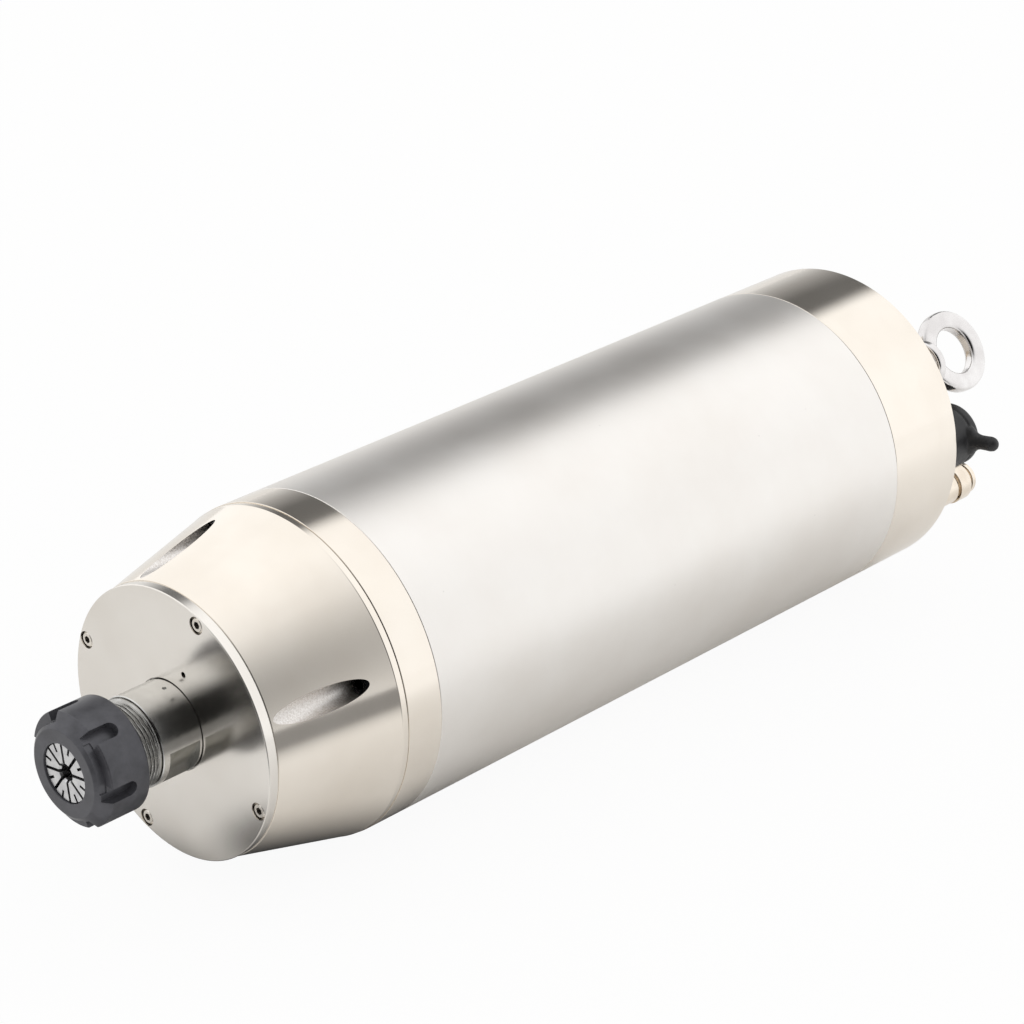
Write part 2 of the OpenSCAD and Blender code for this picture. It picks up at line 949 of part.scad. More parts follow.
// Forged lifting eye: its shank bottoms in its hole, so the collar stands off the face
module lifting_eye() {
    collar_s = rear_s + eye_stand_off;
    color(STEEL) on_axis()
        at_clock(eye_clock, eye_offset)
            union() {
                rotate_extrude()
                    polygon([
                        [0, rear_s - eye_shank_l],
                        [3.9, rear_s - eye_shank_l],
                        [3.9, collar_s],
                        [9.2, collar_s],
                        [10, collar_s + 0.8],
                        [10, collar_s + 3.6],
                        [8.6, collar_s + 5],
                        [6.2, collar_s + 5.8],
                        [0, collar_s + 5.8]
                    ]);
                translate([0, 0, rear_s + eye_h])
                    rotate([0, 0, -eye_twist])
                        rotate([90, 0, 90])
                            rotate_extrude()
                                eye_section();
            }
}

// Flattened section of the ring with rounded corners
module eye_section() {
    r = 1.2;
    half_w = 3.8;
    half_t = 2.9;
    translate([eye_ring_r, 0]) {
        square([2 * half_w, 2 * (half_t - r)], center = true);
        square([2 * (half_w - r), 2 * half_t], center = true);
        for (x = [-1, 1])
            for (y = [-1, 1])
                translate([x * (half_w - r), y * (half_t - r)])
                    circle(r = r);
    }
}

// Push-in water fitting: thread, hexagon, grooved barrel, seat for the tube
module water_fitting(side) {
    bore = hose_d / 2 + 0.05;
    color(NICKEL) on_axis()
        at_clock(fitting_clock + 180 * side, fitting_offset)
            difference() {
                union() {
                    rod(rear_s - 7, rear_s + 1, 4.85);
                    translate([0, 0, rear_s])
                        cylinder(h = 8, r = 7 / cos(30), $fn = 6);
                    rotate_extrude()
                        polygon([
                            [0, rear_s + 7],
                            [6.2, rear_s + 7],
                            [6.2, rear_s + 9.5],
                            [fitting_r, rear_s + 10.2],
                            [fitting_r, rear_s + 19.2],
                            [6.3, rear_s + 19.2],
                            [6.3, rear_s + 20.2],
                            [fitting_r, rear_s + 20.2],
                            [fitting_r, rear_s + 21.4],
                            [6.3, rear_s + 21.4],
                            [6.3, rear_s + 22.4],
                            [fitting_r, rear_s + 22.4],
                            [fitting_r, rear_s + fitting_l - 4.9],
                            [6.7, rear_s + fitting_l - 4.1],
                            [0, rear_s + fitting_l - 4.1]
                        ]);
                }
                rod(rear_s - 8, rear_s + fitting_l, 2.5);
                rod(rear_s + 9, rear_s + fitting_l, bore);
                rod(rear_s + fitting_l - 12, rear_s + fitting_l, 5.6);
            }
}

module water_fitting_a() {
    water_fitting(0);
}

module water_fitting_b() {
    water_fitting(1);
}

// Release ring: pressed in to free the tube
module release_ring(side) {
    end_s = rear_s + fitting_l;
    color(NICKEL) on_axis()
        at_clock(fitting_clock + 180 * side, fitting_offset)
            difference() {
                rotate_extrude()
                    polygon([
                        [hose_d / 2 + 0.4, end_s - 10],
                        [5.3, end_s - 10],
                        [5.3, end_s - 4 + ring_travel],
                        [6.7, end_s - 4 + ring_travel],
                        [6.7, end_s - 0.5],
                        [6.2, end_s],
                        [hose_d / 2 + 0.9, end_s],
                        [hose_d / 2 + 0.4, end_s - 0.5]
                    ]);
                around(4, 0)
                    translate([0, -0.4, end_s - 11])
                        cube([8, 0.8, 5]);
            }
}

module release_ring_a() {
    release_ring(0);
}

module release_ring_b() {
    release_ring(1);
}

clamping_nut();
collet();
spindle_shaft();
cover_plate();
plate_screws();
nose_housing();
nose_screws();
front_ring();
housing_tube();
rear_cap();
rear_cap_screws();
water_jacket();
water_pipes();
o_rings();
stator_core();
stator_windings();
rotor_core();
rotor_cage();
balance_rings();
front_bearing_nut();
front_outer_races();
front_inner_races();
front_balls();
front_cages();
front_outer_spacer();
front_inner_spacer();
rear_bearing_housing();
rear_outer_races();
rear_inner_races();
rear_balls();
rear_cages();
rear_outer_spacer();
rear_inner_spacer();
rear_bearing_nut();
rear_bearing_cover();
bearing_cover_screws();
preload_ring();
preload_springs();
socket_shell();
socket_insulator();
socket_pins();
socket_screws();
dust_cap();
motor_leads();
lifting_eye();
water_fitting_a();
water_fitting_b();
release_ring_a();
release_ring_b();
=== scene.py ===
import bpy
import bmesh
import json
import math
from mathutils import Matrix, Vector


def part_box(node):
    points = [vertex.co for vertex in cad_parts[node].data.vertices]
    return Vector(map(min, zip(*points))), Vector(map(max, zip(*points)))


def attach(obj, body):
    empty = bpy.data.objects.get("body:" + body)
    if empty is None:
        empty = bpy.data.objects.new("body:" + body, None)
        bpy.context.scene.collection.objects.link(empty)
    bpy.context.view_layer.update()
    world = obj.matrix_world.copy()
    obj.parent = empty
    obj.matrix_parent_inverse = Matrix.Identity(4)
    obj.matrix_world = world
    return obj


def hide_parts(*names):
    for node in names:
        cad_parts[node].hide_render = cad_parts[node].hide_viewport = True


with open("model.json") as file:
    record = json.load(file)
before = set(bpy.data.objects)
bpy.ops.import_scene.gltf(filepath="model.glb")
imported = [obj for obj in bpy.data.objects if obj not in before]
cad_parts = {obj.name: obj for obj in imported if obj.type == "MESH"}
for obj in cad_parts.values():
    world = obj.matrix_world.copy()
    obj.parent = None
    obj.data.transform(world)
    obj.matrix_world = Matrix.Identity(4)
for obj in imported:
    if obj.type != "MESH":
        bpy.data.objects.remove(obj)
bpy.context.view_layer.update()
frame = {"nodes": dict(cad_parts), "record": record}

# Studio: a white tent round a spindle that lies on a white table.
# The tent is open on the near side, and has a dark gap behind and to the left.


def linear(code):
    """An sRGB hex colour as linear RGBA"""
    parts = [int(code[i:i + 2], 16) / 255 for i in (1, 3, 5)]
    return [p / 12.92 if p <= 0.04045 else ((p + 0.055) / 1.055) ** 2.4 for p in parts] + [1.0]


def put(tree, kind, links=None, stops=(), **settings):
    """Adds a node with its settings, sets or links its inputs, and gives a ramp its grey stops"""
    node = tree.nodes.new(kind)
    for name, value in settings.items():
        setattr(node, name, value)
    for key, value in (links or {}).items():
        if isinstance(value, bpy.types.NodeSocket):
            tree.links.new(value, node.inputs[key])
        else:
            node.inputs[key].default_value = value
    if stops:
        elements = node.color_ramp.elements
        while len(elements) < len(stops):
            elements.new(0.5)
        for element, (position, grey) in zip(elements, stops):
            element.position = position
            element.color = (grey, grey, grey, 1)
    return node


def blank_material(name):
    """A new material, and its node tree with nothing in it"""
    material = bpy.data.materials.new(name)
    material.use_nodes = True
    material.node_tree.nodes.clear()
    return material, material.node_tree


scene = bpy.context.scene
scene.view_settings.view_transform = "Standard"

EYE_POINT = Vector((0.745024, -0.790289, 0.545141))
SIGHT = Vector((-0.62731, 0.64234, -0.44032))
SIGHT_RIGHT = Vector((0.71543, 0.69869, 0.0))
camera = bpy.data.objects.new("camera", bpy.data.cameras.new("camera"))
scene.collection.objects.link(camera)
upward = SIGHT_RIGHT.cross(SIGHT).normalized()
camera.matrix_world = Matrix.Translation(EYE_POINT) @ Matrix(
    (SIGHT_RIGHT.normalized(), upward, -SIGHT.normalized())).transposed().to_4x4()
camera.data.lens = 112.195
camera.data.sensor_width = 36
camera.data.clip_end = 100
scene.camera = camera

WHITE = linear("#FFFFFF")
TENT_LIGHT = 1.2
EVEN_LIGHT = 0.95
OPEN_SIDE = Vector((0.69, -0.61, 0.36)).normalized()
GAP_STARTS = math.radians(25), math.radians(38)
GAP_STOPS = math.radians(62), math.radians(74)
world = bpy.data.worlds.new("tent")
world.use_nodes = True
scene.world = world
tree = world.node_tree
tree.nodes.clear()
toward = put(tree, "ShaderNodeTexCoord").outputs["Generated"]
near_open = put(tree, "ShaderNodeVectorMath", {0: toward, 1: OPEN_SIDE}, operation="DOT_PRODUCT")
open_side = put(tree, "ShaderNodeValToRGB", {"Fac": near_open.outputs["Value"]},
                [(0.17, 1.0), (0.342, 0.93), (0.5, 0.82), (0.62, 0.6), (0.75, 0.25), (0.86, 0.012)])
heading = put(tree, "ShaderNodeSeparateXYZ", {0: toward})
leftward = put(tree, "ShaderNodeMath", {0: heading.outputs["X"], 1: -1.0}, operation="MULTIPLY")
azimuth = put(tree, "ShaderNodeMath", {0: heading.outputs["Y"], 1: leftward.outputs[0]},
              operation="ARCTAN2")
gap_starts = put(tree, "ShaderNodeMapRange",
                 {"Value": azimuth.outputs[0], "From Min": GAP_STARTS[0], "From Max": GAP_STARTS[1]},
                 interpolation_type="SMOOTHSTEP")
gap_stops = put(tree, "ShaderNodeMapRange",
                {"Value": azimuth.outputs[0], "From Min": GAP_STOPS[0], "From Max": GAP_STOPS[1],
                 "To Min": 1.0, "To Max": 0.0}, interpolation_type="SMOOTHSTEP")
gap = put(tree, "ShaderNodeMath", {0: gap_starts.outputs[0], 1: gap_stops.outputs[0]},
          operation="MULTIPLY")
gap_height = put(tree, "ShaderNodeValToRGB", {"Fac": heading.outputs["Z"]},
                 [(0.0, 0.62), (0.2, 0.36), (0.44, 0.13), (0.66, 0.14), (0.73, 1.0)])
tent_grey = put(tree, "ShaderNodeMix", {0: gap.outputs[0], 6: WHITE, 7: gap_height.outputs["Color"]},
                data_type="RGBA")
tent_tone = put(tree, "ShaderNodeMix",
                {0: 1.0, 6: tent_grey.outputs[2], 7: open_side.outputs["Color"]},
                data_type="RGBA", blend_type="MULTIPLY")
seen = put(tree, "ShaderNodeLightPath")
tent_light = put(tree, "ShaderNodeBackground", {"Color": tent_tone.outputs[2], "Strength": TENT_LIGHT})
even_light = put(tree, "ShaderNodeBackground", {"Color": WHITE, "Strength": EVEN_LIGHT})
soft = put(tree, "ShaderNodeMixShader",
           {0: seen.outputs["Is Diffuse Ray"], 1: tent_light.outputs[0], 2: even_light.outputs[0]})
backdrop = put(tree, "ShaderNodeBackground", {"Color": WHITE, "Strength": 1.0})
both = put(tree, "ShaderNodeMixShader",
           {0: seen.outputs["Is Camera Ray"], 1: soft.outputs[0], 2: backdrop.outputs[0]})
put(tree, "ShaderNodeOutputWorld", {"Surface": both.outputs[0]})

FLOOR_HALF = 15.0
floor_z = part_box("housing_tube")[0].z
floor_mesh = bpy.data.meshes.new("table")
floor_mesh.from_pydata(
    [(x * FLOOR_HALF, y * FLOOR_HALF, floor_z) for x, y in ((-1, -1), (1, -1), (1, 1), (-1, 1))],
    [], [(0, 1, 2, 3)])
floor = bpy.data.objects.new("table", floor_mesh)
scene.collection.objects.link(floor)
# White paper: the camera sees it nearly white and with the object's shadow. Metal sees painted light on
# it: a painted glow far away, a painted dark reflection past its near edge, and painted shadow (dark
# emission) near the nose and under the nut, where the object's own shade falls.
CAMERA_WHITE = 0.94
# Strengths of the painted dark reflection and the painted shadow that metal sees on the floor
PAINTED_DARK_ROOM = 0.3
PAINTED_SHADE = 0.02
paper, tree = blank_material("white_table_paper")
lit = put(tree, "ShaderNodeBsdfDiffuse", {"Color": linear("#F2F1EF")})
# Emissions that metal sees on the floor: bright white, painted glow, painted dark room and painted
# shadow
bright, painted_glow, painted_dark_room, shade = [
    put(tree, "ShaderNodeEmission", {"Color": WHITE, "Strength": strength})
    for strength in (1.0, TENT_LIGHT, PAINTED_DARK_ROOM, PAINTED_SHADE)]
seen = put(tree, "ShaderNodeLightPath")
white_part = put(tree, "ShaderNodeMath", {0: seen.outputs["Is Camera Ray"], 1: CAMERA_WHITE},
                 operation="MULTIPLY")
surface = put(tree, "ShaderNodeMixShader",
              {0: white_part.outputs[0], 1: lit.outputs[0], 2: bright.outputs[0]})
ground = put(tree, "ShaderNodeNewGeometry").outputs["Position"]
ground_at = put(tree, "ShaderNodeSeparateXYZ", {0: ground})
lengthwise = ground_at.outputs["Y"]
distance = put(tree, "ShaderNodeVectorMath", {0: ground}, operation="LENGTH").outputs["Value"]
reach_out = put(tree, "ShaderNodeVectorMath", {0: ground, 1: (0.69, -0.73, 0)},
                operation="DOT_PRODUCT").outputs["Value"]
open_heading, right_heading = [
    put(tree, "ShaderNodeMath", {0: way, 1: distance}, operation="DIVIDE").outputs[0]
    for way in (reach_out, ground_at.outputs["X"])]
sideways = put(tree, "ShaderNodeMath", {0: ground_at.outputs["X"]}, operation="ABSOLUTE").outputs[0]
under_nut = put(tree, "ShaderNodeVectorMath", {0: ground, 1: (0.006, -0.238, floor_z)},
                operation="DISTANCE").outputs["Value"]
# Each layer with its limits: a value, where its step starts and stops, and its share at both
# The glow and dark room layers are painted reflections; the two shade layers are painted shadow near the
# nose and under the nut
layers = (
    (painted_glow, ((distance, 0.1, 0.55, 0.0, 0.85), (right_heading, -0.5, 0.1, 0.0, 1.0))),
    (painted_dark_room, ((reach_out, 0.23, 0.36, 0.0, 1.0), (open_heading, 0.35, 0.6, 0.0, 1.0))),
    (shade, ((sideways, 0.01, 0.07, 0.9, 0.0), (lengthwise, -0.22, -0.195, 0.0, 1.0),
             (lengthwise, -0.11, -0.04, 1.0, 0.0))),
    (shade, ((under_nut, 0.01, 0.032, 0.8, 0.0),)))
for layer, limits in layers:
    share = seen.outputs["Is Glossy Ray"]
    for value, starts, stops, first, last in limits:
        step = put(tree, "ShaderNodeMapRange",
                   {"Value": value, "From Min": starts, "From Max": stops, "To Min": first,
                    "To Max": last}, interpolation_type="SMOOTHSTEP")
        share = put(tree, "ShaderNodeMath", {0: share, 1: step.outputs[0]},
                    operation="MULTIPLY").outputs[0]
    surface = put(tree, "ShaderNodeMixShader", {0: share, 1: surface.outputs[0], 2: layer.outputs[0]})
put(tree, "ShaderNodeOutputMaterial", {"Surface": surface.outputs[0]})
floor_mesh.materials.append(paper)

# Housing tube: thick walled stainless tube, ground round and left satin.
# The ring, nose and cap are spigoted into its two ends.

FACE_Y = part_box("cover_plate")[0].y
MM = 0.001
STEPS = 192
FINE_STEPS = 256


def ends(node):
    """First and last station of a CAD node, in mm behind the cover plate's face"""
    low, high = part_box(node)
    return (low.y - FACE_Y) / MM, (high.y - FACE_Y) / MM


def half_width(node):
    """Radius in mm of a CAD node that is turned about the spindle's axis"""
    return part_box(node)[1].x / MM


def eased(outline, width):
    """The outline with each clear corner replaced by a small arc"""
    points = []
    count = len(outline)
    for i, (r, s) in enumerate(outline):
        here = Vector((r, s))
        back = Vector(outline[i - 1]) - here
        ahead = Vector(outline[(i + 1) % count]) - here
        reach = min(width, back.length * 0.45, ahead.length * 0.45)
        straight = back.length > 0 and ahead.length > 0 and back.angle(ahead) > math.radians(155)
        if r < 0.01 or straight or reach < 0.02:
            points.append((r, s))
            continue
        start = here + back.normalized() * reach
        stop = here + ahead.normalized() * reach
        for t in (0, 0.25, 0.5, 0.75, 1):
            p = start * (1 - t) ** 2 + here * (2 * t * (1 - t)) + stop * t ** 2
            points.append((p.x, p.y))
    return points


def turned(name, outline, ease=0.2, centre=(0, 0), steps=STEPS, sweep=360, relief=None):
    """A closed outline of (radius, station) in mm, turned about an axis along Y"""
    if ease:
        outline = eased(outline, ease)
    whole = sweep == 360
    rows = steps if whole else steps + 1
    shape = bmesh.new()
    rings = []
    for r, s in outline:
        if r < 0.01:
            pole = shape.verts.new((centre[0] * MM, s * MM + FACE_Y, centre[1] * MM))
            rings.append([pole] * rows)
            continue
        ring = []
        for k in range(rows):
            angle = math.radians(sweep) * k / steps
            here_r = r - (relief(s, angle) if relief else 0)
            ring.append(shape.verts.new(((centre[0] + here_r * math.cos(angle)) * MM,
                                         s * MM + FACE_Y,
                                         (centre[1] + here_r * math.sin(angle)) * MM)))
        rings.append(ring)
    for i, ring in enumerate(rings):
        above = rings[(i + 1) % len(rings)]
        if ring[0] is ring[-1] and above[0] is above[-1]:
            continue
        for k in range(steps):
            n = (k + 1) % rows
            corners = [ring[k], ring[n], above[n], above[k]]
            corners = [v for j, v in enumerate(corners) if v is not corners[j - 1]]
            shape.faces.new(corners)
    if not whole:
        shape.faces.new([ring[0] for ring in rings])
        shape.faces.new([ring[-1] for ring in rings])
    bmesh.ops.recalc_face_normals(shape, faces=shape.faces)
    mesh = bpy.data.meshes.new(name)
    shape.to_mesh(mesh)
    shape.free()
    piece = bpy.data.objects.new(name, mesh)
    scene.collection.objects.link(piece)
    return piece


def shade_smooth(piece):
    """Takes the facets off a piece's faces"""
    for face in piece.data.polygons:
        face.use_smooth = True


def smooth_turned(piece, centre=(0, 0), steps=STEPS, limit=38):
    """Gives turned faces a lathe's own normals, and cut faces the mean of their neighbours'"""
    mesh = piece.data
    cos_limit = math.cos(math.radians(limit))
    off_line = math.sin(1.15 * math.pi / steps)
    facts = []
    touching = [[] for _ in mesh.vertices]
    for face in mesh.polygons:
        outward = Vector((face.center.x - centre[0] * MM, 0, face.center.z - centre[1] * MM))
        outward = outward.normalized() if outward.length > 1e-7 else Vector((1, 0, 0))
        across = Vector((-outward.z, 0, outward.x))
        round_face = abs(face.normal.dot(across)) < off_line
        facts.append((face.normal.copy(), Vector((face.normal.dot(outward), face.normal.y)),
                      face.area, round_face))
        for v in face.vertices:
            touching[v].append(face.index)
    normals = [None] * len(mesh.loops)
    for face in mesh.polygons:
        flat, lean, _, round_face = facts[face.index]
        for loop in face.loop_indices:
            v = mesh.loops[loop].vertex_index
            place = mesh.vertices[v].co
            if round_face:
                total = Vector((0, 0))
                for other in touching[v]:
                    _, lean2, area2, round2 = facts[other]
                    if round2 and lean.dot(lean2) > cos_limit:
                        total += lean2 * area2
                out = Vector((place.x - centre[0] * MM, 0, place.z - centre[1] * MM))
                out = out.normalized() if out.length > 1e-7 else Vector((0, 0, 0))
                normal = out * total.x + Vector((0, total.y, 0))
            else:
                normal = Vector((0, 0, 0))
                for other in touching[v]:
                    flat2, _, area2, round2 = facts[other]
                    if not round2 and flat.dot(flat2) > cos_limit:
                        normal += flat2 * area2
            normals[loop] = normal.normalized() if normal.length > 1e-12 else flat
    shade_smooth(piece)
    mesh.normals_split_custom_set(normals)


def bake(piece):
    """Turns the result of a piece's modifiers into its plain mesh"""
    graph = bpy.context.evaluated_depsgraph_get()
    mesh = bpy.data.meshes.new_from_object(piece.evaluated_get(graph))
    piece.modifiers.clear()
    old = piece.data
    piece.data = mesh
    bpy.data.meshes.remove(old)
    mesh.name = piece.name


def dress(piece, material, body, slot, *nodes):
    """Gives a finished piece its material and its body, and hides the CAD nodes it stands for; slot is
    not used
    """
    piece.data.materials.clear()
    piece.data.materials.append(material)
    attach(piece, body)
    if nodes:
        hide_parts(*nodes)


def worked_steel(name, light, dark, rough, lay=None, lay_mm=0.6, depth=0.4, cloud_mm=30,
                 centre=(0, 0), blur=0.0, specks=0.0):
    """Bare metal: clouded colour, tool marks along its lay, and a spread of gloss across them"""
    material, tree = blank_material(name)
    place = put(tree, "ShaderNodeTexCoord")
    centred = put(tree, "ShaderNodeMapping",
                  {"Vector": place.outputs["Object"],
                   "Location": (-centre[0] * MM, 0, -centre[1] * MM)})
    cloud = put(tree, "ShaderNodeTexNoise",
                {"Vector": centred.outputs[0], "Scale": 1 / (cloud_mm * MM), "Detail": 4.0,
                 "Roughness": 0.55})
    tint = put(tree, "ShaderNodeMapRange",
               {"Value": cloud.outputs["Fac"], "From Min": 0.35, "From Max": 0.65})
    colour = put(tree, "ShaderNodeMix",
                 {0: tint.outputs[0], 6: linear(dark), 7: linear(light)}, data_type="RGBA")
    colour_out = colour.outputs[2]
    axes = put(tree, "ShaderNodeSeparateXYZ", {0: centred.outputs[0]})
    if lay == "face":
        flat = put(tree, "ShaderNodeCombineXYZ", {"X": axes.outputs["X"], "Z": axes.outputs["Z"]})
        along = put(tree, "ShaderNodeVectorMath", {0: flat.outputs[0]},
                    operation="LENGTH").outputs["Value"]
    else:
        along = axes.outputs["Y"]
    scaled = put(tree, "ShaderNodeMath", {0: along, 1: 1 / (lay_mm * MM)}, operation="MULTIPLY")
    if lay:
        marks = put(tree, "ShaderNodeTexNoise",
                    {"W": scaled.outputs[0], "Scale": 1.0, "Detail": 5.0, "Roughness": 0.75},
                    noise_dimensions="1D")
    else:
        marks = put(tree, "ShaderNodeTexNoise",
                    {"Vector": centred.outputs[0], "Scale": 1 / (lay_mm * MM), "Detail": 5.0,
                     "Roughness": 0.7})
    gloss = put(tree, "ShaderNodeMath",
                {0: cloud.outputs["Fac"], 1: 0.6}, operation="MULTIPLY")
    gloss = put(tree, "ShaderNodeMath",
                {0: marks.outputs["Fac"], 1: 0.4, 2: gloss.outputs[0]}, operation="MULTIPLY_ADD")
    roughness = put(tree, "ShaderNodeMapRange",
                    {"Value": gloss.outputs[0], "From Min": 0.3, "From Max": 0.7,
                     "To Min": rough[0], "To Max": rough[1]})
    if specks:
        grit = put(tree, "ShaderNodeTexVoronoi",
                   {"Vector": centred.outputs[0], "Scale": 90.0}, feature="F1")
        pit = put(tree, "ShaderNodeMapRange",
                  {"Value": grit.outputs["Distance"], "From Min": 0.0, "From Max": 0.035,
                   "To Min": specks, "To Max": 0.0})
        pitted = put(tree, "ShaderNodeMix",
                     {0: pit.outputs[0], 6: colour_out, 7: linear("#4A443E")}, data_type="RGBA")
        colour_out = pitted.outputs[2]
    relief = put(tree, "ShaderNodeBump",
                 {"Height": marks.outputs["Fac"], "Strength": depth, "Distance": 0.00002})
    shader = put(tree, "ShaderNodeBsdfPrincipled",
                 {"Base Color": colour_out, "Metallic": 1.0, "Roughness": roughness.outputs[0],
                  "Normal": relief.outputs[0]})
    if blur:
        around = put(tree, "ShaderNodeTangent", direction_type="RADIAL", axis="Y")
        tree.links.new(around.outputs[0], shader.inputs["Tangent"])
        shader.inputs["Anisotropic"].default_value = blur
        shader.inputs["Anisotropic Rotation"].default_value = 0.25
    put(tree, "ShaderNodeOutputMaterial", {"Surface": shader.outputs[0]})
    return material


tube_s, cap_s = ends("housing_tube")
housing_r = half_width("housing_tube")
TUBE_IN_R = 52.0
TUBE_EDGE = 0.15
housing_tube = turned("housing_tube_satin", [
    (TUBE_IN_R, tube_s), (housing_r - TUBE_EDGE, tube_s), (housing_r, tube_s + TUBE_EDGE),
    (housing_r, cap_s - TUBE_EDGE), (housing_r - TUBE_EDGE, cap_s), (TUBE_IN_R, cap_s)],
    ease=0.12, steps=FINE_STEPS)
smooth_turned(housing_tube, steps=FINE_STEPS)
# Satin ground stainless: soft edged reflections and a faint warm cloud
satin_stainless = worked_steel("satin_ground_stainless", "#EFECE8", "#E9E5E0", (0.32, 0.40),
                               lay="round", lay_mm=1.2, depth=0.10, cloud_mm=55, specks=0.25)
dress(housing_tube, satin_stainless, "housing", "satin_steel", "housing_tube")

# Front ring: short stainless ring, turned and polished, spigoted into the tube.
# The four long nose screws pass through it.

ring_s = ends("front_ring")[0]
RING_IN_R = 45.05
LIP_IN_R = 61.3
LAND_END_S = ring_s + 2.0
SPIGOT_R = TUBE_IN_R - 0.05
front_ring = turned("front_ring_polished", [
    (36, ring_s + 5), (RING_IN_R, ring_s + 5), (RING_IN_R, ring_s), (LIP_IN_R - 0.05, ring_s),
    (LIP_IN_R - 0.05, LAND_END_S + 0.05), (housing_r - 0.1, LAND_END_S + 0.05),
    (housing_r, LAND_END_S + 0.15), (housing_r, tube_s - TUBE_EDGE), (housing_r - TUBE_EDGE, tube_s),
    (SPIGOT_R, tube_s), (SPIGOT_R, tube_s + 7), (48, tube_s + 7), (36, tube_s - 4)],
    ease=0.15, steps=FINE_STEPS)
smooth_turned(front_ring, steps=FINE_STEPS)
# Turned and polished stainless: crisp warm reflections with fine rings round it
polished_stainless = worked_steel("polished_turned_stainless", "#EEE7DD", "#E8E0D5", (0.09, 0.15),
                                  lay="round", lay_mm=0.7, depth=0.12, cloud_mm=35, specks=0.3)
dress(front_ring, polished_stainless, "housing", "polished_steel", "front_ring")

# Nose: one turned and polished stainless cone that carries the front bearings.
# Four pockets are bored into the cone for long black socket head screws.

nose_s = ends("nose_housing")[0]
plate_r = half_width("cover_plate")
NOSE_FRONT_R = 50.8
NOSE_BACK_R = 62.05
LAND_R = 62.2
LAND_S = ring_s - 0.5
CONE_END_S = LAND_S - 0.3
BEARING_STOP_R = 28
SHOULDER_S = 43.8
POCKET_R = 4.4
POCKET_OFFSET = 55.45
POCKET_FLOOR_S = 45.0
NOSE_SCREWS = 4
NOSE_SCREW_HOLE_R = 2.75
POCKET_CLOCK = 21
round_tree = bpy.data.node_groups.new("evenly_round_an_axis", "GeometryNodeTree")
for socket, kind in (("Geometry", "Geometry"), ("Count", "Int"), ("Start", "Float"),
                     ("Centre", "Vector"), ("Finish", "Material")):
    round_tree.interface.new_socket(socket, in_out="INPUT", socket_type="NodeSocket" + kind)
round_tree.interface.new_socket("Geometry", in_out="OUTPUT", socket_type="NodeSocketGeometry")
given = put(round_tree, "NodeGroupInput")
origins = put(round_tree, "GeometryNodePoints", {"Count": given.outputs["Count"]})
number = put(round_tree, "GeometryNodeInputIndex")
share = put(round_tree, "ShaderNodeMath",
            {0: math.tau, 1: given.outputs["Count"]}, operation="DIVIDE")
clock = put(round_tree, "ShaderNodeMath",
            {0: number.outputs[0], 1: share.outputs[0], 2: given.outputs["Start"]},
            operation="MULTIPLY_ADD")
turn = put(round_tree, "ShaderNodeMath", {0: clock.outputs[0], 1: -1.0}, operation="MULTIPLY")
about_y = put(round_tree, "ShaderNodeCombineXYZ", {"Y": turn.outputs[0]})
copies = put(round_tree, "GeometryNodeInstanceOnPoints",
             {"Points": origins.outputs[0], "Instance": given.outputs["Geometry"],
              "Rotation": about_y.outputs[0]})
solid = put(round_tree, "GeometryNodeRealizeInstances", {"Geometry": copies.outputs[0]})
moved = put(round_tree, "GeometryNodeTransform",
            {"Geometry": solid.outputs[0], "Translation": given.outputs["Centre"]})
finished = put(round_tree, "GeometryNodeSetMaterial",
               {"Geometry": moved.outputs[0], "Material": given.outputs["Finish"]})
put(round_tree, "NodeGroupOutput", {"Geometry": finished.outputs[0]})


def evenly_round(piece, count, start, centre=(0, 0), finish=None):
    """Copies a piece that stands at clock angle 0 evenly round an axis along Y"""
    ring = piece.modifiers.new("ring", "NODES")
    ring.node_group = round_tree
    values = {"Count": count, "Start": math.radians(start),
              "Centre": (centre[0] * MM, 0.0, centre[1] * MM), "Finish": finish}
    for item in round_tree.interface.items_tree:
        if item.name in values and values[item.name] is not None:
            ring[item.identifier] = values[item.name]
    bake(piece)
    return piece


def cut(piece, *cutters):
    """Takes the solid cutters out of a piece"""
    for cutter in cutters:
        knife = piece.modifiers.new("cut", "BOOLEAN")
        knife.solver = "EXACT"
        knife.operation = "DIFFERENCE"
        knife.object = cutter
        bake(piece)
        bpy.data.objects.remove(cutter)


def drill(r, from_s, to_s, offset=0.0, steps=64):
    """A round cutter beside the axis at clock angle 0"""
    return turned("drill", [(0, from_s), (r, from_s), (r, to_s), (0, to_s)],
                  ease=0, centre=(offset, 0), steps=steps)


def refinish(piece, material, is_chosen):
    """Gives another material to the faces that are chosen, by face, radius and station"""
    piece.data.materials.append(material)
    for face in piece.data.polygons:
        reach = math.hypot(face.center.x, face.center.z) / MM
        station = (face.center.y - FACE_Y) / MM
        if is_chosen(face, reach, station):
            face.material_index = len(piece.data.materials) - 1


nose = turned("nose_cone_polished", [
    (31, nose_s), (NOSE_FRONT_R, nose_s), (NOSE_BACK_R, CONE_END_S), (LAND_R, LAND_S),
    (LAND_R, LAND_END_S - 0.12), (LAND_R - 0.12, LAND_END_S), (LIP_IN_R, LAND_END_S),
    (LIP_IN_R, ring_s), (45, ring_s), (45, ring_s + 4.5), (BEARING_STOP_R, ring_s + 4.5),
    (BEARING_STOP_R, SHOULDER_S), (31, SHOULDER_S)], ease=0.2, steps=FINE_STEPS)
cut(nose,
    evenly_round(drill(POCKET_R, -1, POCKET_FLOOR_S, POCKET_OFFSET), NOSE_SCREWS, POCKET_CLOCK),
    evenly_round(drill(NOSE_SCREW_HOLE_R, POCKET_FLOOR_S - 1, ring_s + 1, POCKET_OFFSET, 32),
                 NOSE_SCREWS, POCKET_CLOCK))
smooth_turned(nose, steps=FINE_STEPS)
dress(nose, polished_stainless, "housing", "polished_steel", "nose_housing")
